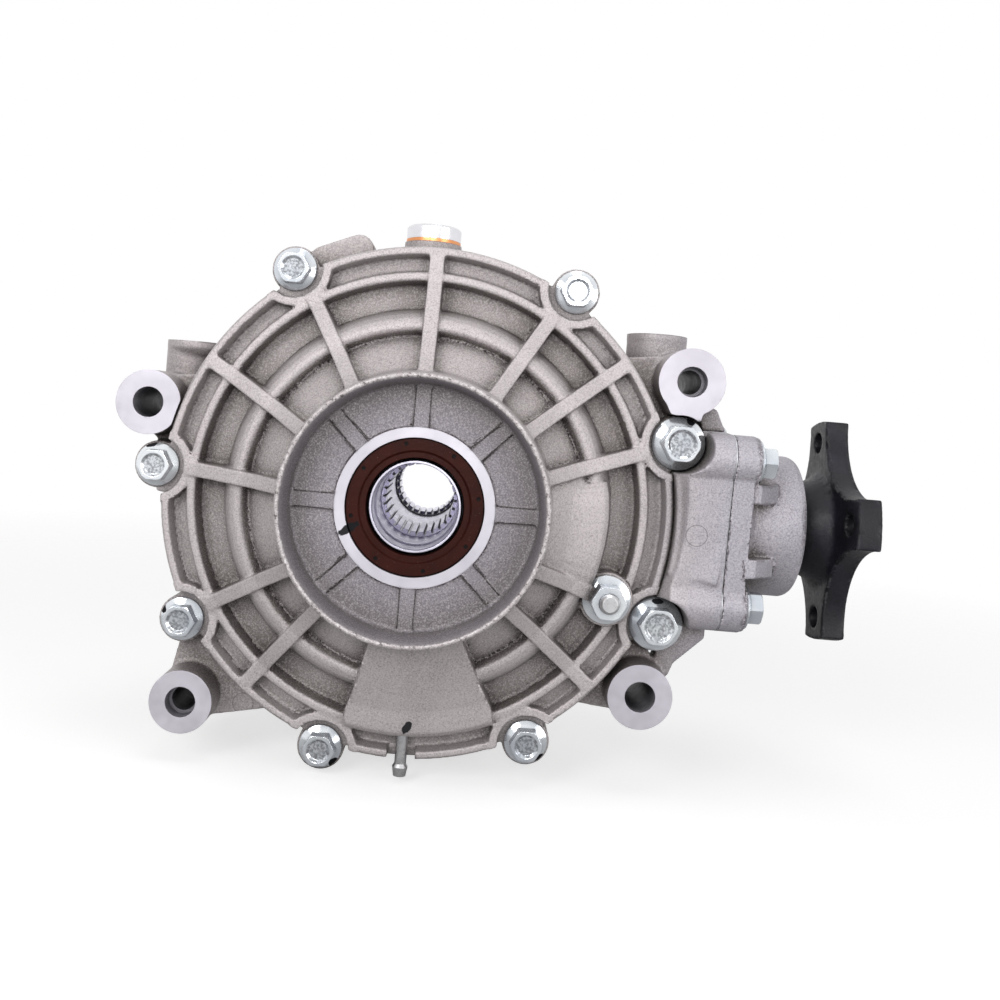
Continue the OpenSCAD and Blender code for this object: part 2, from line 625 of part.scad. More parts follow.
// Chamber of the main case with its bearing pocket and seal bore
module case_chamber() {
    back_y = 0.48 * rear_reach - 6;
    pocket_r = out_bearing_od / 2 + seat_gap;
    about_y() ring([[0, joint_y - 1], [chamber_r, joint_y - 1], [chamber_r, back_y], [chamber_r - 5, back_y + 6],
        [pocket_r + 14, far_bearing_y - 5], [pocket_r, far_bearing_y - 5], [pocket_r, far_shoulder_y],
        [out_seal_od / 2 - 3, far_shoulder_y], [out_seal_od / 2 - 3, far_seal_y], [out_seal_od / 2 + seat_gap, far_seal_y],
        [out_seal_od / 2 + seat_gap, rear_reach + 1], [0, rear_reach + 1]]);
}

// Upright pillar with a flared flat top
module pillar(place) {
    flare = 3;
    translate([place[0] + sign(place[0]) * pillar_lip, pillar_y, place[2]])
        cylinder(r = pillar_d / 2 - pillar_lip, h = place[1] - place[2] - flare);
    translate([place[0], pillar_y, place[1] - 2 * flare])
        cylinder(r1 = pillar_d / 2 - pillar_lip, r2 = pillar_d / 2, h = flare);
    translate([place[0], pillar_y, place[1] - flare]) cylinder(r = pillar_d / 2, h = flare);
    web([place[0], (place[1] + place[2]) / 2], 10, 18, pillar_y - 8, pillar_y + 8);
}

// Solid parts of the main case outside its chamber
module case_body() {
    case_shell();
    for (angle = small_bolt_angles) y_cylinder(bolt_pos(angle), small_lobe_r, joint_y, joint_y + lobe_l);
    for (angle = large_bolt_angles) y_cylinder(large_bolt_place(angle), large_lobe_r, joint_y, joint_y + lobe_l + 4);
    for (boss = boss_webs) {
        y_cylinder(boss[0], boss_d / 2 + boss[2], boss_y, boss_y + boss_l);
        web(boss[0], boss_d / 2 - 0.4, boss[1], web_y[0], web_y[1]);
        web(boss[0], spine_t / 2, spine_t / 2 + 2, web_y[0], boss_y + boss_l - 4);
    }
    for (place = pillars) pillar(place);
    hull() for (end = pad_ends) y_cylinder([end[0], end[1]], end[2], pad_y[0], pad_y[1]);
    plate(tongue, [boss_y, joint_y + 3]);
    plate(gusset, gusset_y);
    translate([chamber_r - 8, 0, 0]) about_x() linear_extrude(neck_reach - chamber_r + 8) neck_outline(neck_half);
    translate([fill_pos[0], fill_pos[1], chamber_r - 4]) cylinder(r = fill_boss_r, h = fill_top_z - chamber_r + 4);
    translate([drain_pos[0], drain_pos[1], drain_boss_z]) cylinder(r = fill_boss_r, h = -drain_boss_z - chamber_r + 4);
}

// Everything in front of the joint that the cover, its lobes and its bolts need
module case_front_relief() {
    about_y() ring([[0, rim_y - 40], [rim_r + 8, rim_y - 40], [rim_r + 5, rim_y - 8], [rim_r + run_gap, rim_y - 0.5],
        [rim_r + run_gap, joint_y], [0, joint_y]]);
    for (angle = small_bolt_angles) y_cylinder(bolt_pos(angle), small_lobe_r + run_gap, rim_y - 40, joint_y);
    for (angle = large_bolt_angles) y_cylinder(large_bolt_place(angle), large_lobe_r + run_gap, rim_y - 40, joint_y);
}

module main_case() {
    color(cast) difference() {
        union() {
            difference() {
                case_body();
                case_chamber();
            }
            intersection() {
                y_cylinder(stud_pos, stud_boss_r, joint_y, stud_root_y + 8);
                y_cylinder([0, 0], chamber_r + 2, joint_y, stud_root_y + 9);
            }
        }
        case_front_relief();
        for (angle = small_bolt_angles) y_cylinder(bolt_pos(angle), small_d / 2 + seat_gap, joint_y - 1, joint_y + small_grip + 2);
        for (angle = large_bolt_angles)
            y_cylinder(large_bolt_place(angle), large_d / 2 + seat_gap, joint_y - 1, joint_y + large_grip + 2);
        for (angle = dowel_angles)
            y_cylinder(bolt_pos(angle), small_d / 2 + run_gap + dowel_wall + seat_gap, joint_y - 1, joint_y + dowel_l / 2);
        y_cylinder(stud_pos, small_d / 2 + seat_gap, joint_y - 1, stud_root_y + 0.5);
        for (boss = boss_webs) {
            y_cylinder(boss[0], boss_hole_d / 2, boss_y - 1, boss_y + boss[3]);
            y_cylinder(boss[0], boss_thread_d / 2, boss_y, boss_y + boss_l + 1);
        }
        for (place = pillars) translate([place[0], pillar_y, place[1] - pillar_hole_l])
            cylinder(d = pillar_hole_d, h = pillar_hole_l + 1);
        translate([chamber_r - 20, 0, 0]) about_x() cylinder(r = shoulder_r + 0.8, h = neck_floor_x - chamber_r + 21);
        translate([neck_floor_x, 0, 0]) about_x() cylinder(r = neck_bore_r + seat_gap, h = 40);
        for (place = housing_bolts) translate([neck_reach - housing_bolt_grip - 0.5, place[0], place[1]])
            about_x() cylinder(r = small_d / 2 + seat_gap, h = 20);
        translate([fill_pos[0], fill_pos[1], chamber_r - 8]) cylinder(r = plug_thread_r + seat_gap, h = 40);
        translate([drain_pos[0], drain_pos[1], drain_boss_z - 1]) cylinder(r = plug_thread_r - 2 + seat_gap, h = 24);
    }
}

module pinion_housing() {
    pocket_end_x = pin_bearing_x + pin_bearing_w;
    color(cast) difference() {
        union() {
            translate([housing_x, 0, 0]) about_x() linear_extrude(housing_flange_t - housing_lobe_t) neck_outline(neck_half);
            for (place = housing_bolts) translate([housing_x, place[0], place[1]])
                about_x() cylinder(r = neck_lobe_r - 0.5, h = housing_flange_t);
            about_x() ring([[0, neck_floor_x + 0.3], [neck_bore_r, neck_floor_x + 0.3], [neck_bore_r, housing_x + 1],
                [nose_r + 2, nose_x], [nose_r, nose_x + 2], [nose_r, nose_end_x - 2], [nose_r - 0.6, nose_end_x - 0.6],
                [nose_r - 2, nose_end_x], [0, nose_end_x]]);
            for (side = [-1, 1], z = [-wedge_z, wedge_z]) translate([0, 0, z - wedge_t / 2]) linear_extrude(wedge_t)
                polygon([[nose_x - 3, side * (neck_half - 0.5)], [nose_x + 1.5, side * (neck_half - 0.5)],
                    [nose_x + wedge_l, side * (nose_r - 3)], [nose_x + wedge_l, side * 20], [nose_x - 3, side * 20]]);
        }
        about_x() ring([[0, neck_floor_x - 1], [pin_bearing_od / 2 + seat_gap, neck_floor_x - 1],
            [pin_bearing_od / 2 + seat_gap, pocket_end_x], [pin_bearing_od / 2 - 4, pocket_end_x],
            [hub_r + 5, pocket_end_x + 4], [hub_r + 5, in_seal_x], [in_seal_od / 2 + seat_gap, in_seal_x],
            [in_seal_od / 2 + seat_gap, nose_end_x - 0.6], [in_seal_od / 2 + 0.8, nose_end_x + 1], [0, nose_end_x + 1]]);
        about_x() ring([[neck_bore_r - 2 * o_ring_r, neck_o_ring_x - 1.4], [neck_bore_r + 1, neck_o_ring_x - 1.4],
            [neck_bore_r + 1, neck_o_ring_x + 1.4], [neck_bore_r - 2 * o_ring_r, neck_o_ring_x + 1.4]]);
        for (place = housing_bolts) translate([housing_x - 1, place[0], place[1]])
            about_x() cylinder(r = small_d / 2 + run_gap, h = 30);
    }
}

module pinion_housing_shim()
    color(steel) translate([neck_reach + 0.02, 0, 0]) about_x() linear_extrude(shim_t - 0.04) difference() {
        neck_outline(neck_half - 0.5);
        circle(r = neck_bore_r + 0.4);
        for (place = housing_bolts) translate(place) circle(r = small_d / 2 + run_gap);
    }

module pinion_housing_o_ring()
    color(dark_rubber) about_x() rotate_extrude()
        translate([neck_bore_r - o_ring_r + 0.04, neck_o_ring_x]) circle(r = o_ring_r - 0.03, $fn = 24);

module pinion_housing_bolts()
    color(zinc) for (place = housing_bolts) translate([nose_x, place[0], place[1]])
        about_x() flange_bolt(small_d, housing_flange_t + shim_t + housing_bolt_grip, small_flange_d, small_hex, small_head_h);

module input_oil_seal()
    color(dark_rubber) translate([in_seal_x + in_seal_w, 0, 0]) about_x() mirror([0, 0, 1])
        lip_seal(in_seal_od / 2, hub_r, in_seal_w, 0);

module near_oil_seal()
    color(seal_brown) translate([0, near_seal_y, 0]) about_y() lip_seal(out_seal_od / 2, land_r, out_seal_w, 8);

module far_oil_seal()
    color(seal_brown) translate([0, far_seal_y + out_seal_w, 0]) mirror([0, 1, 0]) about_y()
        lip_seal(out_seal_od / 2, land_r, out_seal_w, 8);

module fill_plug()
    color(machined) translate([fill_pos[0], fill_pos[1], fill_top_z + washer_h]) difference() {
        union() {
            translate([0, 0, -14]) cylinder(r = plug_thread_r, h = 14.5);
            cylinder(d = plug_head_d, h = plug_head_h - 1);
            translate([0, 0, plug_head_h - 1]) cylinder(d1 = plug_head_d, d2 = plug_head_d - 2, h = 1);
        }
        translate([0, 0, plug_head_h - 5]) cylinder(r = 5.8, h = 6, $fn = 6);
    }

module fill_plug_washer()
    color(copper) translate([fill_pos[0], fill_pos[1], fill_top_z])
        ring([[plug_thread_r + seat_gap, 0], [plug_head_d / 2, 0], [plug_head_d / 2, washer_h], [plug_thread_r + seat_gap, washer_h]]);

module drain_plug()
    color(zinc) translate([drain_pos[0], drain_pos[1], drain_boss_z - washer_h]) mirror([0, 0, 1]) union() {
        translate([0, 0, -12]) cylinder(r = plug_thread_r - 2, h = 13);
        cylinder(r = plug_thread_r + 1.5, h = 1.6);
        cylinder(r = 8, h = drain_head_h, $fn = 6);
    }

module drain_plug_washer()
    color(copper) translate([drain_pos[0], drain_pos[1], drain_boss_z - washer_h])
        ring([[plug_thread_r - 2 + seat_gap, 0], [plug_thread_r + 1.5, 0], [plug_thread_r + 1.5, washer_h], [plug_thread_r - 2 + seat_gap, washer_h]]);

module vent_spigot()
    color(machined) translate([spigot_x, spigot_y, 0]) mirror([0, 0, 1]) ring([[spigot_bore_r, spigot_root],
        [spigot_r, spigot_root], [spigot_r, -spigot_tip_z - 5], [spigot_r + 0.8, -spigot_tip_z - 3.8],
        [spigot_r + 0.2, -spigot_tip_z], [spigot_bore_r, -spigot_tip_z]]);

module near_bearing_outer_race()
    color(steel) translate([0, near_bearing_y + 0.02, 0]) about_y()
        race(pitch_r + race_lip, out_bearing_od / 2, out_bearing_w - 0.04, pitch_r, [out_bearing_w / 2]);

module near_bearing_inner_race()
    color(steel) translate([0, near_bearing_y, 0]) about_y()
        race(out_bearing_bore / 2 + seat_gap, pitch_r - race_lip, out_bearing_w - seat_gap, pitch_r, [out_bearing_w / 2]);

module near_bearing_balls()
    color(machined) translate([0, near_bearing_y, 0]) about_y() balls(pitch_r, [out_bearing_w / 2]);

module near_bearing_cage()
    color(copper) translate([0, near_bearing_y, 0]) about_y() cage(pitch_r, [out_bearing_w / 2], ball_d + 2.4);

module far_bearing_outer_race()
    color(steel) translate([0, far_bearing_y + 0.02, 0]) about_y()
        race(pitch_r + race_lip, out_bearing_od / 2, out_bearing_w - 0.04, pitch_r, [out_bearing_w / 2]);

module far_bearing_inner_race()
    color(steel) translate([0, far_bearing_y + seat_gap, 0]) about_y()
        race(out_bearing_bore / 2 + seat_gap, pitch_r - race_lip, out_bearing_w - seat_gap, pitch_r, [out_bearing_w / 2]);

module far_bearing_balls()
    color(machined) translate([0, far_bearing_y, 0]) about_y() balls(pitch_r, [out_bearing_w / 2]);

module far_bearing_cage()
    color(copper) translate([0, far_bearing_y, 0]) about_y() cage(pitch_r, [out_bearing_w / 2], ball_d + 2.4);

module far_bearing_shim()
    color(steel) translate([0, far_shoulder_y - shim_t + 0.02, 0]) about_y() ring([[out_bearing_od / 2 - 3.5, 0],
        [out_bearing_od / 2, 0], [out_bearing_od / 2, shim_t - 0.04], [out_bearing_od / 2 - 3.5, shim_t - 0.04]]);

module pinion_bearing_outer_race()
    color(steel) translate([pin_bearing_x + 0.02, 0, 0]) about_x()
        race(pin_pitch_r + race_lip, pin_bearing_od / 2, pin_bearing_w - 0.04, pin_pitch_r, pin_rows);

module pinion_bearing_inner_race()
    color(steel) translate([pin_bearing_x, 0, 0]) about_x()
        race(pin_bearing_bore / 2 + seat_gap, pin_pitch_r - race_lip, pin_bearing_w, pin_pitch_r, pin_rows);

module pinion_bearing_balls()
    color(machined) translate([pin_bearing_x, 0, 0]) about_x() balls(pin_pitch_r, pin_rows);

module pinion_bearing_cage()
    color(copper) translate([pin_bearing_x, 0, 0]) about_x() cage(pin_pitch_r, pin_rows, ball_d + 13.4);

// Hollow output shaft: two splined sockets, two bearing seats and the ring gear flange
module output_sleeve() {
    seat_r = out_bearing_bore / 2;
    body_r = sleeve_body_d / 2;
    root_r = spline_root_d / 2;
    flange_end = ring_back + gear_flange_t;
    near_end = near_bearing_y + out_bearing_w;
    color(steel) difference() {
        about_y() ring([[0, sleeve_near_y], [land_r - 0.6, sleeve_near_y], [land_r, sleeve_near_y + 0.8],
            [land_r, near_bearing_y - 0.2], [seat_r, near_bearing_y], [seat_r, near_end], [body_r, near_end],
            [body_r, ring_back - pilot_h], [ring_bore_d / 2 - seat_gap, ring_back - pilot_h],
            [ring_bore_d / 2 - seat_gap, ring_back], [gear_flange_d / 2, ring_back], [gear_flange_d / 2, flange_end],
            [body_r + 6, flange_end], [body_r, flange_end + 6], [body_r, far_bearing_y], [seat_r, far_bearing_y],
            [seat_r, far_shoulder_y], [land_r, far_shoulder_y + 0.2], [land_r, sleeve_far_y - 0.8],
            [land_r - 0.6, sleeve_far_y], [0, sleeve_far_y]]);
        about_y() ring([[0, sleeve_near_y - 1], [lead_bore_r + 0.6, sleeve_near_y - 1], [lead_bore_r, sleeve_near_y + 0.6],
            [lead_bore_r, sleeve_near_y + lead_bore_l], [pilot_bore_r, sleeve_near_y + lead_bore_l + 0.5],
            [pilot_bore_r, near_spline_y[0]], [root_r - spline_h, near_spline_y[0] + 1.2],
            [root_r - spline_h, near_spline_y[1] - 0.01], [pilot_bore_r, near_spline_y[1]], [pilot_bore_r, snap_y],
            [snap_r, snap_y], [snap_r, snap_y + snap_w], [pilot_bore_r, snap_y + snap_w], [pilot_bore_r, far_spline_y[0]],
            [root_r - spline_h, far_spline_y[0] + 1.2], [root_r - spline_h, far_spline_y[1]], [root_r, far_spline_y[1]],
            [root_r, sleeve_far_y + 1], [0, sleeve_far_y + 1]]);
        for (run = [near_spline_y, far_spline_y]) translate([0, run[0] - 0.5, 0]) about_y()
            spline_bore(root_r, root_r - spline_h - 0.01, spline_teeth, run[1] - run[0] + 1);
        for (i = [0 : gear_bolt_count - 1]) at_angle(i * 360 / gear_bolt_count)
            y_cylinder([gear_bolt_pcd / 2, 0], small_d / 2 + seat_gap, ring_back - 1, flange_end + 1);
    }
}

module sleeve_snap_ring()
    color("#3a3a3e") translate([0, snap_y + 0.1, 0]) about_y() difference() {
        ring([[pilot_bore_r - 0.8, 0], [snap_r - 0.1, 0], [snap_r - 0.1, snap_w - 0.2], [pilot_bore_r - 0.8, snap_w - 0.2]]);
        translate([0, -2, -1]) cube([30, 4, 5]);
    }

// Cone distance of a tooth section, from the inner end to the outer end
function section_dist(i) = cone_dist - face_w * (1 - i / (tooth_sections - 1));
// Turn of the tooth line about a gear's axis at a cone distance
function spiral_turn(rho, cone) = tan(spiral_angle) * ln(rho / (cone_dist - face_w / 2)) / sin(cone) * 180 / PI;
// Involute function, in radians
function involute(angle) = tan(angle) - angle * PI / 180;
// Half width of a ring gear tooth at a height above its pitch line
function ring_half(h) = ring_thick / 2 - backlash / 4 - h * tan(trans_angle);
// Half width of a pinion tooth at a height above its pitch line, as an involute of the equivalent spur gear
function pinion_half(h) =
    let (pressure = acos(base_r / max(virtual_r + h, base_r)))
    (virtual_r + h) * ((pinion_thick / 2 - backlash / 4) / virtual_r + involute(trans_angle) - involute(pressure));
// A point of a tooth: its height and half width shrink towards the apex
function tooth_point(rho, cone, h, w) =
    let (k = rho / cone_dist, r = rho * sin(cone) + k * h * cos(cone),
        a = k * w / r * 180 / PI + spiral_turn(rho, cone))
    [r * cos(a), r * sin(a), rho * cos(cone) - k * h * sin(cone)];
// Radius and height of a point of a gear blank
function blank_point(rho, cone, h) =
    let (k = rho / cone_dist)
    [rho * sin(cone) + k * h * cos(cone), rho * cos(cone) - k * h * sin(cone)];

// One spiral bevel tooth about Z, its profile given by heights and half widths at the outer end
module bevel_tooth(cone, heights, halves) {
    n = len(heights);
    m = 2 * n;
    last = (tooth_sections - 1) * m;
    points = [for (s = [0 : tooth_sections - 1]) each concat(
        [for (i = [0 : n - 1]) tooth_point(section_dist(s), cone, heights[i], halves[i])],
        [for (i = [n - 1 : -1 : 0]) tooth_point(section_dist(s), cone, heights[i], -halves[i])])];
    flanks = [for (s = [0 : tooth_sections - 2], i = [0 : m - 1])
        let (a = s * m + i, b = s * m + (i + 1) % m)
        each [[a, b, b + m], [a, b + m, a + m]]];
    inner_end = [for (i = [0 : n - 2]) each [[i, m - 1 - i, i + 1], [i + 1, m - 1 - i, m - 2 - i]]];
    outer_end = [for (i = [0 : n - 2]) each [[last + i, last + i + 1, last + m - 1 - i],
        [last + i + 1, last + m - 2 - i, last + m - 1 - i]]];
    polyhedron(points, concat(flanks, inner_end, outer_end));
}

module ring_gear() {
    toe = blank_point(cone_dist - face_w, ring_cone, -ring_ded);
    heel = blank_point(cone_dist, ring_cone, -ring_ded);
    color("#6f7277") difference() {
        about_y() {
            ring([[ring_bore_d / 2, toe[1]], toe, heel, [heel[0] + 1, ring_back - 4], [heel[0] - 3, ring_back], [ring_bore_d / 2, ring_back]]);
            for (i = [0 : ring_teeth - 1]) rotate((i + 0.5) * 360 / ring_teeth)
                bevel_tooth(ring_cone, ring_heights, [for (h = ring_heights) ring_half(h)]);
        }
        for (i = [0 : gear_bolt_count - 1]) at_angle(i * 360 / gear_bolt_count)
            y_cylinder([gear_bolt_pcd / 2, 0], small_d / 2 + seat_gap, ring_back - ring_bolt_grip - 1, ring_back + 1);
    }
}

module ring_gear_bolts()
    color("#55575c") for (i = [0 : gear_bolt_count - 1]) at_angle(i * 360 / gear_bolt_count)
        translate([gear_bolt_pcd / 2, ring_back + gear_flange_t, 0]) rotate([-90, 0, 0])
            flange_bolt(small_d, gear_flange_t + ring_bolt_grip, small_flange_d, small_hex, small_head_h);

// Spline teeth round a shaft, as an outline
module spline_outline(tip, teeth, h) {
    pitch = 360 / teeth * PI / 180 * tip;
    circle(r = tip - h);
    for (i = [0 : teeth - 1]) rotate(i * 360 / teeth)
        polygon([[tip - h - 0.5, -0.3 * pitch], [tip, -0.2 * pitch], [tip, 0.2 * pitch], [tip - h - 0.5, 0.3 * pitch]]);
}

module pinion() {
    toe = blank_point(cone_dist - face_w - blank_lip, pinion_cone, -pinion_ded);
    heel = blank_point(cone_dist + blank_lip, pinion_cone, -pinion_ded);
    color("#7b7e84") about_x() union() {
        ring([[0, toe[1] + 1], [toe[0] - 3, toe[1] + 1], toe, heel, [shoulder_r, heel[1] + 3], [shoulder_r, pin_bearing_x - 0.05],
            [shaft_r, pin_bearing_x - 0.05], [shaft_r, hub_start_x - 1], [input_spline_r - input_spline_h, hub_start_x + 1],
            [input_spline_r - input_spline_h, hub_start_x + 6], [0, hub_start_x + 6]]);
        for (i = [0 : pinion_teeth - 1]) rotate(i * 360 / pinion_teeth)
            bevel_tooth(pinion_cone, pinion_heights, [for (h = pinion_heights) pinion_half(h)]);
        translate([0, 0, hub_start_x + 3]) linear_extrude(nut_x - washer_t - 3 - hub_start_x)
            spline_outline(input_spline_r, input_spline_teeth, input_spline_h);
        translate([0, 0, nut_x - washer_t - 1]) cylinder(r = thread_r, h = nut_h + washer_t + 3);
        translate([0, 0, nut_x + nut_h + 2]) cylinder(r1 = thread_r, r2 = thread_r - 1, h = 1);
    }
}

// Outline of the flange plate: four ears with hollow sides between them
module flange_outline() {
    half = ear_w / 2;
    far = ear_reach - 4.8;
    hollow = (far * far + half * half - ear_waist_r * ear_waist_r) / (2 * (far + half - sqrt(2) * ear_waist_r));
    rotate(-ear_turn) difference() {
        circle(r = ear_reach);
        for (i = [0 : 3]) rotate(90 * i) translate([hollow, hollow]) circle(r = sqrt(2) * hollow - ear_waist_r);
    }
}

module input_flange() {
    color(flange_black) about_x() difference() {
        union() {
            translate([0, 0, plate_x]) linear_extrude(ear_t) flange_outline();
            ring([[0, hub_start_x], [hub_r, hub_start_x], [hub_r, nose_end_x + 2], [hub_r + 6, plate_x - 1],
                [hub_r + 9, plate_x + 1], [0, plate_x + 1]]);
        }
        for (i = [0 : 3]) rotate(90 * i - ear_turn) translate([ear_hole_pcd / 2, 0, plate_x - 1])
            cylinder(d = ear_hole_d, h = ear_t + 2);
        translate([0, 0, hub_start_x - 1]) cylinder(r = shaft_r + seat_gap, h = 3);
        translate([0, 0, hub_start_x - 1]) linear_extrude(60) offset_spline();
        translate([0, 0, nut_x - washer_t]) cylinder(r = 19, h = 20);
    }
}

// Spline outline with room for the shaft
module offset_spline() spline_outline(input_spline_r + seat_gap, input_spline_teeth, input_spline_h);

module flange_washer()
    color(steel) translate([nut_x - washer_t, 0, 0]) about_x()
        ring([[thread_r + seat_gap, 0], [17, 0], [17, washer_t], [thread_r + seat_gap, washer_t]]);

module flange_nut()
    color(zinc) translate([nut_x, 0, 0]) about_x() difference() {
        union() {
            intersection() {
                cylinder(r = 30 / sqrt(3), h = nut_h - 2.5, $fn = 6);
                cylinder(r1 = 15.6 + nut_h - 2.5, r2 = 15.6, h = nut_h - 2.5);
            }
            cylinder(r = thread_r + 2, h = nut_h);
        }
        translate([0, 0, -1]) cylinder(r = thread_r + seat_gap, h = nut_h + 2);
    }

main_case();
side_cover();
cover_o_ring();
cover_bolts_m8();
cover_bolts_m10();
dowel_sleeves();
inner_stud();
inner_stud_nut();
pinion_housing();
pinion_housing_shim();
pinion_housing_o_ring();
pinion_housing_bolts();
input_oil_seal();
near_oil_seal();
far_oil_seal();
fill_plug();
fill_plug_washer();
drain_plug();
drain_plug_washer();
vent_spigot();
near_bearing_outer_race();
near_bearing_inner_race();
near_bearing_balls();
near_bearing_cage();
far_bearing_outer_race();
far_bearing_inner_race();
far_bearing_balls();
far_bearing_cage();
far_bearing_shim();
pinion_bearing_outer_race();
pinion_bearing_inner_race();
pinion_bearing_balls();
pinion_bearing_cage();
output_sleeve();
sleeve_snap_ring();
ring_gear();
ring_gear_bolts();
pinion();
input_flange();
flange_washer();
flange_nut();
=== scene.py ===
"""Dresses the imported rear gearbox: cast skins, seals, finishes, stage, lamps and camera."""
import json
import logging
import math
from dataclasses import dataclass, field
from enum import Enum
from typing import Any, Iterable, Sequence

import bmesh
import bpy
from mathutils import Matrix, Vector


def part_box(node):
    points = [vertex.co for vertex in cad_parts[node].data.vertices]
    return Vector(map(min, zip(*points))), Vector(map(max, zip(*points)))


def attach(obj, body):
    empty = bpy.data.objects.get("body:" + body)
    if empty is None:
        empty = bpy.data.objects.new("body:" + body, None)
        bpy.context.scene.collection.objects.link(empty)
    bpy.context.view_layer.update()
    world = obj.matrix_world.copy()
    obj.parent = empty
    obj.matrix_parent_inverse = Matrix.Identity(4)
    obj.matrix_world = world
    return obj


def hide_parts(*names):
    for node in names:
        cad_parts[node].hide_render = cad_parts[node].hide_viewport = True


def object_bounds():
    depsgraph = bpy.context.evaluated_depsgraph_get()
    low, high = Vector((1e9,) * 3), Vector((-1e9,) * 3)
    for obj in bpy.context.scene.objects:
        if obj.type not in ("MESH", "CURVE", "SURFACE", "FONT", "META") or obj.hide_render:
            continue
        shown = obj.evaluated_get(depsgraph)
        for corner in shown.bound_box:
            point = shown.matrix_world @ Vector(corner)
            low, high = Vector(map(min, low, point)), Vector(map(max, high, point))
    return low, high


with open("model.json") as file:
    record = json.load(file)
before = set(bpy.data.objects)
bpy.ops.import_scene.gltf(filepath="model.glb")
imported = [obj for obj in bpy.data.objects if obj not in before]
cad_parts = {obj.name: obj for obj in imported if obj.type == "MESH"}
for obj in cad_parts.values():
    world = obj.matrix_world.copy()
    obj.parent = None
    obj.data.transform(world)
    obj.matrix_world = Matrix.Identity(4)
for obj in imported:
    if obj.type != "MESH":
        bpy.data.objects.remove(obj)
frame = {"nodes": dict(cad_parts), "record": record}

LOG = logging.getLogger("rear_gearbox")
CAD_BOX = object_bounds()
MM = 0.001
Socket = bpy.types.NodeSocket
Point = tuple[float, float, float]
Colour = tuple[float, float, float]
Ramp = tuple[float, float]
PAINT_BLACK: Colour = (0.006, 0.006, 0.008)
FINE_ANGLE = math.radians(30)
CAST_ANGLE = math.radians(100)


class Axis(Enum):
    """A direction of the shared frame."""

    X = 0
    Y = 1
    Z = 2

    @property
    def unit(self) -> Vector:
        """The unit vector along this axis."""
        return Vector([1.0 if i == self.value else 0.0 for i in range(3)])


class Nodes:
    """A node tree and the steps that fill it."""

    def __init__(self, tree: bpy.types.NodeTree) -> None:
        """Empties a tree to start from.

        Args:
            tree: the tree of a material or of the world.
        """
        self.tree = tree
        self.tree.nodes.clear()

    def add(self, kind: str, inputs: dict | None = None, **settings: Any) -> bpy.types.Node:
        """Adds a node.

        Args:
            kind: the node's Blender type.
            inputs: a value or a socket to link for each input's name or number.
            settings: properties of the node.

        Returns:
            The node.
        """
        node = self.tree.nodes.new(kind)
        for key, value in settings.items():
            setattr(node, key, value)
        for key, value in (inputs or {}).items():
            if isinstance(value, Socket):
                self.tree.links.new(value, node.inputs[key])
            else:
                node.inputs[key].default_value = value
        return node

    def span(self, value: Socket, low: float, high: float, start: float = 0.0, end: float = 1.0) -> Socket:
        """Maps a value from low and high to start and end, and holds it there.

        Args:
            value: the value to map.
            low: the value that gives start.
            high: the value that gives end.
            start: what low becomes.
            end: what high becomes.

        Returns:
            The mapped value.
        """
        inputs = {0: value, 1: low, 2: high, 3: start, 4: end}
        return self.add("ShaderNodeMapRange", inputs).outputs[0]

    def ramp(self, value: Socket, ends: Ramp) -> Socket:
        """A mask that is 0 at the first end and 1 at the second, in millimetres."""
        return self.span(value, ends[0] * MM, ends[1] * MM)

    def maths(self, kind: str, a: Any, b: Any = 0.0) -> Socket:
        """One step of arithmetic.

        Args:
            kind: the operation.
            a: the first value or socket.
            b: the second value or socket.

        Returns:
            The result.
        """
        return self.add("ShaderNodeMath", {0: a, 1: b}, operation=kind).outputs[0]

    def product(self, a: Any, b: Any) -> Socket:
        """Two values multiplied."""
        return self.maths("MULTIPLY", a, b)

    def any_of(self, masks: Sequence[Socket]) -> Socket:
        """Joins several masks.

        Args:
            masks: the masks, at least one.

        Returns:
            The highest of them.
        """
        total = masks[0]
        for mask in masks[1:]:
            total = self.maths("MAXIMUM", total, mask)
        return total


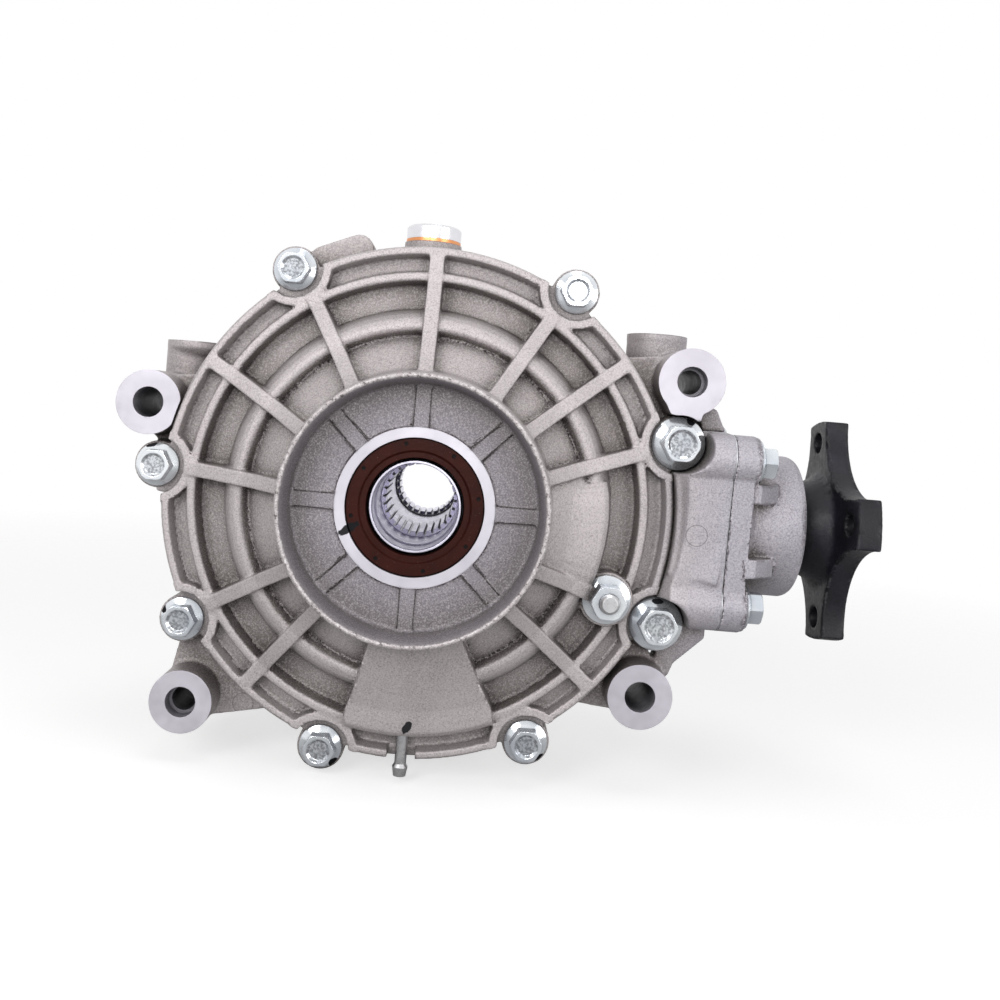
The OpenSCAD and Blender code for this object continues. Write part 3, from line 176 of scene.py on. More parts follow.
class Graph(Nodes):
    """A material and the nodes that make it."""

    def __init__(self, name: str) -> None:
        """Makes an empty material.

        Args:
            name: the finish's name.
        """
        self.material = bpy.data.materials.new(name)
        self.material.use_nodes = True
        super().__init__(self.material.node_tree)
        self.place = self.add("ShaderNodeTexCoord").outputs["Object"]

    def noise(self, per_metre: float, detail: float = 4.0, rough: float = 0.55) -> Socket:
        """A noise between 0 and 1 on the piece's own coordinates.

        Args:
            per_metre: how many cells lie in a metre.
            detail: how many finer layers it has.
            rough: how strong the finer layers are.

        Returns:
            The noise's value.
        """
        inputs = {"Vector": self.place, "Scale": per_metre, "Detail": detail, "Roughness": rough}
        return self.add("ShaderNodeTexNoise", inputs).outputs[0]

    def blend(self, amount: Any, first: Any, second: Any) -> Socket:
        """Mixes two colours.

        Args:
            amount: 0 gives the first and 1 the second.
            first: a colour or a socket.
            second: a colour or a socket.

        Returns:
            The mixed colour.
        """
        colours = [(*c, 1.0) if isinstance(c, tuple) else c for c in (first, second)]
        mix = self.add("ShaderNodeMix", {0: amount, 6: colours[0], 7: colours[1]}, data_type="RGBA")
        return mix.outputs[2]

    def bump(self, height: Socket, depth: float, strength: float, normal: Socket | None = None) -> Socket:
        """Raises the surface by a height.

        Args:
            height: the height between 0 and 1.
            depth: what 1 means, in metres.
            strength: how much of it shows.
            normal: a normal to start from.

        Returns:
            The new normal.
        """
        inputs = {"Height": height, "Distance": depth, "Strength": strength}
        if normal is not None:
            inputs["Normal"] = normal
        return self.add("ShaderNodeBump", inputs).outputs[0]

    def vector(self, kind: str, a: Any, b: Any = (0.0, 0.0, 0.0)) -> bpy.types.Node:
        """One step of vector arithmetic, as a node."""
        return self.add("ShaderNodeVectorMath", {0: a, 1: b}, operation=kind)

    def recess(self, reach: float, low: float, high: float) -> Socket:
        """How open a place is: 1 in the open and 0 in a recess.

        Args:
            reach: how far walls count, in metres.
            low: the share of open sky that gives 0.
            high: the share of open sky that gives 1.

        Returns:
            The openness.
        """
        node = self.add("ShaderNodeAmbientOcclusion", {"Distance": reach}, samples=6)
        return self.span(node.outputs["AO"], low, high)

    def along(self, axis: Axis, ends: Ramp) -> Socket:
        """A ramp along an axis, from 0 at the first end to 1 at the second, in millimetres."""
        parts = self.add("ShaderNodeSeparateXYZ", {0: self.place})
        return self.ramp(parts.outputs[axis.value], ends)

    def from_axle(self) -> Socket:
        """The distance from the output axle."""
        flat = self.vector("MULTIPLY", self.place, (1.0, 0.0, 1.0))
        return self.vector("LENGTH", flat.outputs[0]).outputs["Value"]

    def soft_edges(self, radius: float) -> Socket:
        """A normal that rounds sharp edges by a radius in metres."""
        return self.add("ShaderNodeBevel", {"Radius": radius}, samples=4).outputs[0]

    def painted(self, dabs: Sequence["PaintDab"]) -> Socket:
        """Where dabs of marking paint lie, with frayed edges."""
        wobble = self.span(self.noise(420.0, 2.0), 0.3, 0.7, 0.0, 0.45)
        return self.any_of([dab.mask(self, wobble) for dab in dabs])

    def surface(self, **inputs: Any) -> bpy.types.Material:
        """Ends the graph with a Principled shader.

        Args:
            inputs: a value or socket for each input, with spaces written as underscores.

        Returns:
            The material.
        """
        named = {key.replace("_", " "): value for key, value in inputs.items()}
        shader = self.add("ShaderNodeBsdfPrincipled", named)
        self.add("ShaderNodeOutputMaterial", {0: shader.outputs[0]})
        return self.material


@dataclass(frozen=True)
class PaintDab:
    """A dab of black marking paint, in millimetres and degrees."""

    at: Point
    half: Point
    turn: float = 0.0

    def mask(self, g: Graph, wobble: Socket) -> Socket:
        """Where the dab is.

        Args:
            g: the material's graph.
            wobble: a noise that frays its edge.

        Returns:
            A mask that is 1 on the dab.
        """
        centred = g.vector("SUBTRACT", g.place, Vector(self.at) * MM)
        turn = {"Vector": centred.outputs[0], "Angle": math.radians(self.turn)}
        turned = g.add("ShaderNodeVectorRotate", turn, rotation_type="Y_AXIS")
        scaled = g.vector("DIVIDE", turned.outputs[0], Vector(self.half) * MM)
        away = g.vector("LENGTH", scaled.outputs[0]).outputs["Value"]
        return g.span(g.maths("ADD", away, wobble), 1.3, 1.2)


@dataclass(frozen=True)
class PinMark:
    """The round mark that an ejector pin or a punch leaves, in millimetres."""

    at: Point
    radius: float = 4.3
    line: float = 0.28

    def mask(self, g: Graph) -> Socket:
        """A mask that is 1 on the mark's edge."""
        off = g.maths("ABSOLUTE", g.maths("SUBTRACT", self.away(g), self.radius * MM))
        return g.span(off, self.line * MM, 0.1 * self.line * MM)

    def disc(self, g: Graph) -> Socket:
        """A mask that is 1 inside the mark."""
        return g.span(self.away(g), (self.radius + self.line) * MM, self.radius * MM)

    def away(self, g: Graph) -> Socket:
        """The distance from the mark's middle."""
        return g.vector("DISTANCE", g.place, Vector(self.at) * MM).outputs["Value"]


@dataclass(frozen=True)
class CastFinish:
    """Blasted cast aluminium, with painted shade darkening its recesses.

    A ramp gives where a region starts and where it is in full, in millimetres. The open ramps are
    shares of open sky, and a lift is how light a pocket or corner of the outer band stays.
    """

    name: str = "cast_aluminium"
    light: Colour = (0.53, 0.484, 0.488)
    cool: Colour = (0.42, 0.398, 0.448)
    # The cup colour is painted shade inside the hub's cup.
    cup: Colour = (0.13, 0.112, 0.122)
    # The floor colour is painted shade on the floors of pockets.
    floor: Colour = (0.135, 0.116, 0.11)
    # The dirt colour is both the dark grains, chips and pin marks and the painted shade in corners.
    dirt_and_corner_shade: Colour = (0.055, 0.046, 0.043)
    # The crease colour is painted shade in the creases of the cup's floor.
    crease_shade: Colour = (0.05, 0.043, 0.042)
    sparkle: Colour = (0.78, 0.74, 0.73)
    chip: Colour = (0.84, 0.82, 0.82)
    grain: float = 1500.0
    grain_depth: float = 0.2 * MM
    metallic: float = 0.35
    roughness: float = 0.5
    pocket_reach: float = 17.0 * MM
    pocket_open: Ramp = (0.4, 0.97)
    pocket_lift: float = 0.62
    corner_reach: float = 5.0 * MM
    corner_open: Ramp = (0.3, 0.8)
    corner_lift: float = 0.4
    neck: Ramp = (90.0, 125.0)
    cup_wall: Ramp = (50.5, 49.5)
    cup_depth: Ramp = (-46.0, -49.0)
    cup_shade: float = 0.55
    cup_floor_edge: Ramp = (48.0, 47.5)
    cup_floor_ring: Ramp = (31.6, 31.9)
    cup_rib_angles: tuple[float, ...] = (0.0, 45.0, 90.0, 135.0)
    cup_rib_half: float = 3.0
    crease_line: Ramp = (0.32, 0.12)
    band_inside: Ramp = (92.0, 94.5)
    band_outside: Ramp = (106.0, 104.5)
    band_depth: Ramp = (-21.0, -24.0)
    lip_r: float = 51.2
    lip_line: Ramp = (1.6, 1.0)
    lip_depth: Ramp = (-64.6, -65.4)
    dabs: tuple[PaintDab, ...] = ()
    pins: tuple[PinMark, ...] = ()

    def rib_crease_shade(self, g: Graph) -> Socket:
        """The painted shade in the creases beside the flat ribs of the cup's floor.

        Args:
            g: the material's graph.

        Returns:
            A mask that is 1 on the creases.
        """
        creases = []
        for turn in self.cup_rib_angles:
            across = (math.sin(math.radians(turn)), 0.0, -math.cos(math.radians(turn)))
            off = g.vector("DOT_PRODUCT", g.place, across).outputs["Value"]
            edge = g.maths("SUBTRACT", g.maths("ABSOLUTE", off), self.cup_rib_half * MM)
            creases.append(g.ramp(g.maths("ABSOLUTE", edge), self.crease_line))
        return g.any_of(creases)

    def with_painted_shade(self, g: Graph, from_axle: Socket, in_cup: Socket) -> Socket:
        """The casting's colour, darker by painted shade in the hub's cup, its pockets and its corners.

        Args:
            g: the material's graph.
            from_axle: the distance from the output axle.
            in_cup: a mask that is 1 in the hub's cup.

        Returns:
            The colour.
        """
        # Darker and cooler in the hub's cup and towards the neck; in the cup this is the first step of its
        # painted shade.
        cup_and_neck = g.maths("MAXIMUM", in_cup, g.along(Axis.X, self.neck))
        colour = g.blend(cup_and_neck, self.light, self.cool)
        # Painted shade: the inside of the hub's cup darkened further.
        colour = g.blend(g.product(in_cup, self.cup_shade), colour, self.cup)
        ring = g.product(g.ramp(from_axle, self.band_inside), g.ramp(from_axle, self.band_outside))
        shallow = g.product(ring, g.along(Axis.Y, self.band_depth))
        # Painted shade: pockets darkened towards the floor colour by how little open sky they see, less in
        # the outer band.
        pocket = g.recess(self.pocket_reach, *self.pocket_open)
        pocket = g.maths("MAXIMUM", pocket, g.product(shallow, self.pocket_lift))
        colour = g.blend(pocket, self.floor, colour)
        # Painted shade: narrow corners darkened by how little open sky they see, less in the outer band.
        corner = g.recess(self.corner_reach, *self.corner_open)
        corner = g.maths("MAXIMUM", corner, g.product(shallow, self.corner_lift))
        return g.blend(corner, self.dirt_and_corner_shade, colour)

    def grained(self, g: Graph, colour: Socket, grit: Socket, crease_shade_mask: Socket) -> Socket:
        """Adds the grains of the blasted skin and the painted shade in the creases of the cup's floor.

        Args:
            g: the material's graph.
            colour: the colour so far.
            grit: the grains, dark at 0 and bright at 1.
            crease_shade_mask: a mask that is 1 on the creases of the cup's floor.

        Returns:
            The colour.
        """
        colour = g.blend(g.span(grit, 0.1, 0.5, 0.5, 0.0), colour, self.dirt_and_corner_shade)
        # Painted shade along the creases beside the flat ribs of the cup's floor.
        colour = g.blend(g.product(crease_shade_mask, 0.85), colour, self.crease_shade)
        return g.blend(g.span(grit, 0.5, 0.9, 0.0, 0.4), colour, self.sparkle)

    def chipped(self, g: Graph, colour: Socket, from_axle: Socket) -> Socket:
        """Adds dark and bright chips to the lip of the cup.

        Args:
            g: the material's graph.
            colour: the colour so far.
            from_axle: the distance from the output axle.

        Returns:
            The colour.
        """
        off = g.maths("ABSOLUTE", g.maths("SUBTRACT", from_axle, self.lip_r * MM))
        on_lip = g.product(g.ramp(off, self.lip_line), g.along(Axis.Y, self.lip_depth))
        chips = g.noise(620.0, 3.0, 0.8)
        colour = g.blend(g.product(on_lip, g.span(chips, 0.44, 0.36, 0.0, 0.8)), colour, self.dirt_and_corner_shade)
        return g.blend(g.product(on_lip, g.span(chips, 0.54, 0.64, 0.0, 0.6)), colour, self.chip)

    def build(self) -> bpy.types.Material:
        """Makes the finish.

        Returns:
            The material.
        """
        g = Graph(self.name)
        fine = g.noise(self.grain, 4.0, 0.75)
        broad = g.noise(38.0, 3.0)
        from_axle = g.from_axle()
        in_cup = g.product(g.ramp(from_axle, self.cup_wall), g.along(Axis.Y, self.cup_depth))
        on_floor = g.product(g.ramp(from_axle, self.cup_floor_edge), g.ramp(from_axle, self.cup_floor_ring))
        crease_shade_mask = g.product(g.product(on_floor, in_cup), self.rib_crease_shade(g))
        grit = g.maths("ADD", g.span(fine, 0.3, 0.7, 0.0, 0.85), g.span(broad, 0.3, 0.7, 0.0, 0.15))
        colour = self.grained(g, self.with_painted_shade(g, from_axle, in_cup), grit, crease_shade_mask)
        colour = self.chipped(g, colour, from_axle)
        marks = g.any_of([pin.mask(g) for pin in self.pins])
        colour = g.blend(g.product(marks, 0.6), colour, self.dirt_and_corner_shade)
        painted = g.painted(self.dabs)
        colour = g.blend(painted, colour, PAINT_BLACK)
        metallic = g.span(painted, 0.0, 1.0, self.metallic, 0.0)
        rough = g.span(broad, 0.3, 0.7, self.roughness - 0.05, self.roughness + 0.07)
        normal = g.bump(fine, self.grain_depth, 0.8)
        return g.surface(Base_Color=colour, Metallic=metallic, Roughness=rough, Normal=normal)


@dataclass(frozen=True)
class CutFinish:
    """Turned or ground metal: soft edges, faint tool marks, painted shade and painted dish reflections."""

    name: str
    light: Colour
    dark: Colour
    metallic: float = 1.0
    roughness: float = 0.28
    streaks: float = 260.0
    depth: float = 0.03 * MM
    edge: float = 0.25 * MM
    # The next three fields set the painted shade in recesses: its strength, how far walls count, and its
    # colour.
    recess_shade: float = 0.5
    recess_shade_reach: float = 3.0 * MM
    recess_shade_colour: Colour = (0.006, 0.006, 0.009)
    # The dish colour is a painted dark reflection in the pressed discs of bolt heads.
    dish_reflection: Colour = (0.05, 0.05, 0.06)
    dabs: tuple[PaintDab, ...] = ()
    dishes: tuple[PinMark, ...] = ()

    def build(self) -> bpy.types.Material:
        """Makes the finish.

        Returns:
            The material.
        """
        g = Graph(self.name)
        fine = g.noise(self.streaks, 6.0, 0.65)
        broad = g.noise(40.0, 3.0)
        colour = g.blend(g.span(broad, 0.35, 0.65), self.dark, self.light)
        # Painted shade: recesses darkened towards a near-black colour by how little open sky they see.
        closed = g.maths("SUBTRACT", 1.0, g.recess(self.recess_shade_reach, 0.1, 0.9))
        colour = g.blend(g.product(closed, self.recess_shade), colour, self.recess_shade_colour)
        # Painted reflection: pressed discs darkened in blotches, standing in for the dark surroundings they
        # mirror.
        if self.dishes:
            pressed = g.any_of([dish.disc(g) for dish in self.dishes])
            blotches = g.span(g.noise(900.0, 2.0), 0.4, 0.6, 0.12, 0.6)
            colour = g.blend(g.product(pressed, blotches), colour, self.dish_reflection)
        rough = g.span(fine, 0.3, 0.7, self.roughness * 0.75, self.roughness * 1.35)
        if self.dabs:
            painted = g.painted(self.dabs)
            colour = g.blend(painted, colour, PAINT_BLACK)
            rough = g.maths("MAXIMUM", rough, g.product(painted, 0.45))
        normal = g.bump(fine, self.depth, 1.0, g.soft_edges(self.edge))
        return g.surface(Base_Color=colour, Metallic=self.metallic, Roughness=rough, Normal=normal)


@dataclass(frozen=True)
class RubberFinish:
    """Moulded rubber, a little oily, with painted glints and painted shade."""

    name: str
    light: Colour
    dark: Colour
    # Pale colour of the painted glints, laid as sparse fine specks.
    glint_speck: Colour = (0.5, 0.4, 0.36)
    shade: Colour = (0.004, 0.003, 0.003)
    # Painted shade inside the small dents round the seal.
    dent: Colour = (0.008, 0.004, 0.004)
    roughness: float = 0.42
    shade_reach: float = 4.0 * MM
    dabs: tuple[PaintDab, ...] = ()
    dents: tuple[PinMark, ...] = ()

    def build(self) -> bpy.types.Material:
        """Makes the finish.

        Returns:
            The material.
        """
        g = Graph(self.name)
        fine = g.noise(1400.0, 5.0, 0.7)
        broad = g.noise(90.0, 4.0)
        colour = g.blend(g.span(broad, 0.3, 0.7), self.dark, self.light)
        # Painted glints: sparse pale specks standing in for glossy highlights.
        glint_specks = g.span(g.noise(2600.0, 1.0), 0.74, 0.8, 0.0, 0.35)
        colour = g.blend(glint_specks, colour, self.glint_speck)
        colour = g.blend(g.recess(self.shade_reach, 0.2, 0.8), self.shade, colour)
        rough = g.span(fine, 0.3, 0.7, self.roughness - 0.12, self.roughness + 0.15)
        # Painted shade: the small dents darkened.
        if self.dents:
            sunk = g.any_of([dent.disc(g) for dent in self.dents])
            colour = g.blend(sunk, colour, self.dent)
        if self.dabs:
            colour = g.blend(g.painted(self.dabs), colour, PAINT_BLACK)
        normal = g.bump(fine, 0.12 * MM, 0.7, g.soft_edges(0.3 * MM))
        return g.surface(Base_Color=colour, Roughness=rough, Normal=normal, Specular_IOR_Level=0.12)


@dataclass(frozen=True)
class CoatFinish:
    """A satin black coating on a forging."""

    name: str = "flange_black"
    colour: Colour = (0.0065, 0.006, 0.0085)
    blotches: Colour = (0.018, 0.017, 0.026)
    roughness: float = 0.36

    def build(self) -> bpy.types.Material:
        """Makes the finish.

        Returns:
            The material.
        """
        g = Graph(self.name)
        fine = g.noise(520.0, 6.0, 0.7)
        broad = g.noise(70.0, 3.0)
        colour = g.blend(g.span(broad, 0.4, 0.75), self.colour, self.blotches)
        rough = g.span(fine, 0.3, 0.7, self.roughness - 0.08, self.roughness + 0.16)
        normal = g.bump(fine, 0.18 * MM, 0.8, g.soft_edges(1.2 * MM))
        return g.surface(Base_Color=colour, Roughness=rough, Normal=normal, Specular_IOR_Level=0.3)


def on_circle(radius: float, degrees: float, depth: float) -> Point:
    """A point at an angle and a distance from the output axle, in millimetres."""
    turn = math.radians(degrees)
    return (radius * math.cos(turn), depth, radius * math.sin(turn))


@dataclass(frozen=True)
class Marks:
    """The paint, pin marks and pressed dents of the gearbox, in millimetres and degrees."""

    ring_dab: PaintDab = PaintDab((-25.2, -50.5, -10.3), (4.7, 3.0, 1.6), 35.0)
    sump_dab: PaintDab = PaintDab((3.2, -35.0, -90.7), (2.9, 5.0, 1.6), 64.0)
    bolt_dabs: tuple[PaintDab, ...] = (
        PaintDab((-101.2, -27.5, -51.9), (1.5, 2.5, 2.2), 30.0),
        PaintDab((-26.3, -27.5, -109.5), (2.2, 2.5, 1.3), 40.0),
        PaintDab((58.2, -27.5, -101.2), (2.2, 2.5, 1.1), 45.0),
        PaintDab((-111.4, -27.5, 14.8), (2.4, 2.5, 1.2), 20.0),
        PaintDab((109.5, -27.5, 42.3), (1.8, 2.5, 1.4), -25.0),
        PaintDab((101.7, -27.5, -32.6), (2.4, 2.5, 1.0), 0.0),
    )
    pin_marks: tuple[PinMark, ...] = (PinMark((113.3, -38.0, -3.3)), PinMark((-67.1, -17.0, -91.7)))
    small_bolt_circle_r: float = 108.5
    small_bolt_angles: tuple[float, ...] = (57.5, 122.4, 176.4, 211, 252.9, 298.9)
    small_dish_r: float = 4.6
    large_bolt_circle_r: float = 110.25
    large_bolt_angles: tuple[float, ...] = (17.3, 337.6)
    large_dish_r: float = 5.9
    dish_edge: float = 0.4
    dent_circle_r: float = 25.1
    dent_count: int = 8
    dent_start: float = 12.0
    dent_r: float = 0.75
    dent_edge: float = 0.25

    def dishes(self, circle_r: float, angles: Sequence[float], top: float,
               dish_r: float) -> list[PinMark]:
        """The pressed discs of the bolts on one circle.

        Args:
            circle_r: the bolt circle's radius.
            angles: where the bolts stand on it.
            top: how far out the bolt heads reach.
            dish_r: the discs' radius.

        Returns:
            A mark for each bolt.
        """
        return [PinMark(on_circle(circle_r, turn, top), dish_r, self.dish_edge) for turn in angles]

    def bolt_dishes(self) -> tuple[PinMark, ...]:
        """The pressed discs on top of the cover bolts.

        Returns:
            A mark for each bolt.
        """
        small_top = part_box("cover_bolts_m8")[0].y / MM
        large_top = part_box("cover_bolts_m10")[0].y / MM
        small = self.dishes(self.small_bolt_circle_r, self.small_bolt_angles, small_top, self.small_dish_r)
        large = self.dishes(self.large_bolt_circle_r, self.large_bolt_angles, large_top, self.large_dish_r)
        return tuple(small + large)

    def seal_dents(self) -> tuple[PinMark, ...]:
        """The small dents round the seal.

        Returns:
            A mark for each dent.
        """
        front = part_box("near_oil_seal")[0].y / MM
        step = 360.0 / self.dent_count
        turns = [self.dent_start + step * i for i in range(self.dent_count)]
        places = [on_circle(self.dent_circle_r, turn, front) for turn in turns]
        return tuple(PinMark(place, self.dent_r, self.dent_edge) for place in places)


class Bench:
    """Steps of modelling, each done as by hand on the chosen piece."""

    round_sides = 96
    weld = 0.001 * MM
    level_slack = 0.05 * MM
    level_cosine = 0.99

    @staticmethod
    def pick(piece: bpy.types.Object) -> None:
        """Selects one piece alone and makes it active.

        Args:
            piece: the piece.
        """
        bpy.ops.object.select_all(action="DESELECT")
        piece.select_set(True)
        bpy.context.view_layer.objects.active = piece

    @staticmethod
    def modify(piece: bpy.types.Object, kind: str, **settings: Any) -> None:
        """Adds a modifier and applies it.

        Args:
            piece: the piece that it changes.
            kind: the modifier's Blender type.
            settings: properties of the modifier.
        """
        Bench.pick(piece)
        step = piece.modifiers.new(kind.lower(), kind)
        for key, value in settings.items():
            setattr(step, key, value)
        bpy.ops.object.modifier_apply(modifier=step.name)

    @staticmethod
    def copy_of(node: str, name: str) -> bpy.types.Object:
        """A closed copy of a CAD node.

        Args:
            node: the node's name.
            name: the new piece's name.

        Returns:
            The piece.
        """
        piece = bpy.data.objects.new(name, frame["nodes"][node].data.copy())
        bpy.context.scene.collection.objects.link(piece)
        piece.data.materials.clear()
        Bench.pick(piece)
        bpy.ops.object.mode_set(mode="EDIT")
        bpy.ops.mesh.select_all(action="SELECT")
        bpy.ops.mesh.remove_doubles(threshold=Bench.weld)
        bpy.ops.object.mode_set(mode="OBJECT")
        return piece

    @staticmethod
    def rod(start: Point, axis: Axis, length: float, radius: float) -> bpy.types.Object:
        """A cylinder to add or to cut with.

        Args:
            start: the middle of its first end, in millimetres.
            axis: the direction that it runs in.
            length: its length in millimetres, negative towards the axis's lower end.
            radius: its radius in millimetres.

        Returns:
            The cylinder, its place in its mesh.
        """
        middle = (Vector(start) + axis.unit * length / 2) * MM
        turn = axis.unit.to_track_quat("Z", "Y").to_euler()
        bpy.ops.object.select_all(action="DESELECT")
        bpy.ops.mesh.primitive_cylinder_add(vertices=Bench.round_sides, radius=radius * MM,
                                            depth=abs(length) * MM, location=middle, rotation=turn)
        piece = bpy.context.object
        bpy.ops.object.transform_apply(location=True, rotation=True, scale=True)
        return piece

    @staticmethod
    def plate(outline: Sequence[Vector], sweep: Vector) -> bpy.types.Object:
        """A flat outline swept into a plate.

        Args:
            outline: its corners, in millimetres.
            sweep: how far and which way it is swept, in millimetres.

        Returns:
            The plate, its place in its mesh.
        """
        bpy.ops.object.select_all(action="DESELECT")
        bpy.ops.mesh.primitive_circle_add(vertices=len(outline), radius=MM, fill_type="NGON")
        piece = bpy.context.object
        for vertex, corner in zip(piece.data.vertices, outline):
            vertex.co = corner * MM
        bpy.ops.object.mode_set(mode="EDIT")
        bpy.ops.mesh.select_all(action="SELECT")
        bpy.ops.mesh.extrude_region_move(TRANSFORM_OT_translate={"value": sweep * MM})
        bpy.ops.mesh.select_all(action="SELECT")
        bpy.ops.mesh.normals_make_consistent(inside=False)
        bpy.ops.object.mode_set(mode="OBJECT")
        return piece

    @staticmethod
    def grow(piece: bpy.types.Object, axis: Axis, level: float, step: float) -> None:
        """Moves a flat face outwards, as the stock that machining takes off again.

        Args:
            piece: the piece that has the face.
            axis: the face's normal.
            level: where the face is along that axis, in millimetres.
            step: how far it moves, in millimetres, negative towards the lower end.
        """
        sign = math.copysign(1.0, step)
        Bench.pick(piece)
        bpy.ops.object.mode_set(mode="EDIT")
        bpy.ops.mesh.select_all(action="DESELECT")
        mesh = bmesh.from_edit_mesh(piece.data)
        for face in mesh.faces:
            flat = face.normal[axis.value] * sign > Bench.level_cosine
            off = face.calc_center_median()[axis.value] - level * MM
            if flat and abs(off) < Bench.level_slack:
                face.select = True
        bmesh.update_edit_mesh(piece.data)
        bpy.ops.transform.translate(value=axis.unit * step * MM)
        bpy.ops.object.mode_set(mode="OBJECT")

    @staticmethod
    def join(piece: bpy.types.Object, others: Iterable[bpy.types.Object]) -> None:
        """Joins other pieces into one.

        Args:
            piece: the piece that takes them in.
            others: the pieces to take in, if any.
        """
        others = list(others)
        if not others:
            return
        Bench.pick(piece)
        for other in others:
            other.select_set(True)
        bpy.ops.object.join()

    @staticmethod
    def cut(piece: bpy.types.Object, tools: Sequence[bpy.types.Object], finish: bpy.types.Material) -> None:
        """Cuts tools that don't touch each other out of a piece.

        Args:
            piece: the piece.
            tools: the tools, used up by the cut.
            finish: the finish of what they cut.
        """
        for tool in tools:
            tool.data.materials.append(finish)
        Bench.join(tools[0], tools[1:])
        Bench.modify(piece, "BOOLEAN", operation="DIFFERENCE", solver="MANIFOLD", object=tools[0],
                     material_mode="TRANSFER")
        bpy.data.objects.remove(tools[0])

    @staticmethod
    def triangles(piece: bpy.types.Object) -> int:
        """How many triangles a piece has."""
        return sum(len(face.vertices) - 2 for face in piece.data.polygons)


@dataclass
class Rod:
    """A round bar: stock to add, or a tool that takes off stock or drills a hole."""

    start: Point
    axis: Axis
    length: float
    radius: float

    def piece(self) -> bpy.types.Object:
        """The bar as a piece."""
        return Bench.rod(self.start, self.axis, self.length, self.radius)


@dataclass
class Web:
    """A wall of a casting that stands on a radius: an outline of radius and depth."""

    outline: Sequence[tuple[float, float]]
    angle: float
    thick: float

    def piece(self) -> bpy.types.Object:
        """The web as a piece.

        Returns:
            The piece.
        """
        turn = math.radians(self.angle)
        out = Vector((math.cos(turn), 0.0, math.sin(turn)))
        side = Vector((-math.sin(turn), 0.0, math.cos(turn)))
        corners = [out * r + Axis.Y.unit * y - side * self.thick / 2 for r, y in self.outline]
        return Bench.plate(corners, side * self.thick)


@dataclass
class Lug:
    """A wall of a casting that lies across the output axle: an outline of X and Z."""

    outline: Sequence[tuple[float, float]]
    start: float
    end: float

    def piece(self) -> bpy.types.Object:
        """The lug as a piece."""
        corners = [Vector((x, self.start, z)) for x, z in self.outline]
        return Bench.plate(corners, Axis.Y.unit * (self.end - self.start))


@dataclass
class CastSkin:
    """A casting with filleted edges, made from its CAD node and machined again."""

    node: str
    name: str
    voxel: float
    smoothing: int
    faces: int
    grown: list[tuple[Axis, float, float]] = field(default_factory=list)
    stock: list[Rod | Web | Lug] = field(default_factory=list)
    passes: list[list[Rod]] = field(default_factory=list)
    inner_r: float = 0.0
    front_wall_y: float = -19.0
    facing: float = 0.3
    inner_cut: float = 0.9
    body: str = "casing"
    slot: str = "cast_aluminium"

    def hides(self, vertex: bpy.types.MeshVertex) -> bool:
        """Tells whether a vertex is on the wall of the closed gear chamber.

        Args:
            vertex: the vertex.

        Returns:
            Whether nobody sees it.
        """
        place, normal = vertex.co, vertex.normal
        radius = math.hypot(place.x, place.z)
        if radius > self.inner_r * MM:
            return False
        behind = place.y > self.front_wall_y * MM
        inwards = (place.x * normal.x + place.z * normal.z) / max(radius, MM) < -self.facing
        far_side = normal.y > self.facing if place.y < self.front_wall_y * MM else normal.y < -self.facing
        return far_side or (inwards and behind)

    def thin_out(self, piece: bpy.types.Object) -> None:
        """Takes faces out, first where nobody looks and then all over.

        Args:
            piece: the casting.
        """
        if self.inner_r:
            group = piece.vertex_groups.new(name="inside")
            inside = [vertex.index for vertex in piece.data.vertices if self.hides(vertex)]
            group.add(inside, 1.0, "REPLACE")
            share = len(inside) / len(piece.data.vertices)
            Bench.modify(piece, "DECIMATE", decimate_type="COLLAPSE", ratio=1.0 - self.inner_cut * share,
                         vertex_group="inside", vertex_group_factor=1.0)
            piece.vertex_groups.clear()
        full = Bench.triangles(piece)
        if full > self.faces:
            Bench.modify(piece, "DECIMATE", decimate_type="COLLAPSE", ratio=self.faces / full)

    def build(self, cast: bpy.types.Material, machined: bpy.types.Material) -> None:
        """Makes the casting.

        Args:
            cast: the finish of its skin.
            machined: the finish of its cuts.
        """
        piece = Bench.copy_of(self.node, self.name)
        for axis, level, step in self.grown:
            Bench.grow(piece, axis, level, step)
        Bench.join(piece, [added.piece() for added in self.stock])
        piece.data.remesh_voxel_size = self.voxel * MM
        piece.data.remesh_voxel_adaptivity = 0.0
        Bench.pick(piece)
        bpy.ops.object.voxel_remesh()
        Bench.modify(piece, "SMOOTH", factor=0.5, iterations=self.smoothing)
        self.thin_out(piece)
        piece.data.materials.clear()
        piece.data.materials.append(cast)
        for tools in self.passes:
            Bench.cut(piece, [tool.piece() for tool in tools], machined)
        Bench.pick(piece)
        bpy.ops.object.shade_smooth_by_angle(angle=CAST_ANGLE)
        for face in piece.data.polygons:
            face.use_smooth = face.material_index == 0
        Bench.modify(piece, "WEIGHTED_NORMAL", weight=60, keep_sharp=True)
        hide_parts(self.node)
        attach(piece, self.body)
        LOG.info("%s: %d triangles, %s", self.name, Bench.triangles(piece), self.slot)


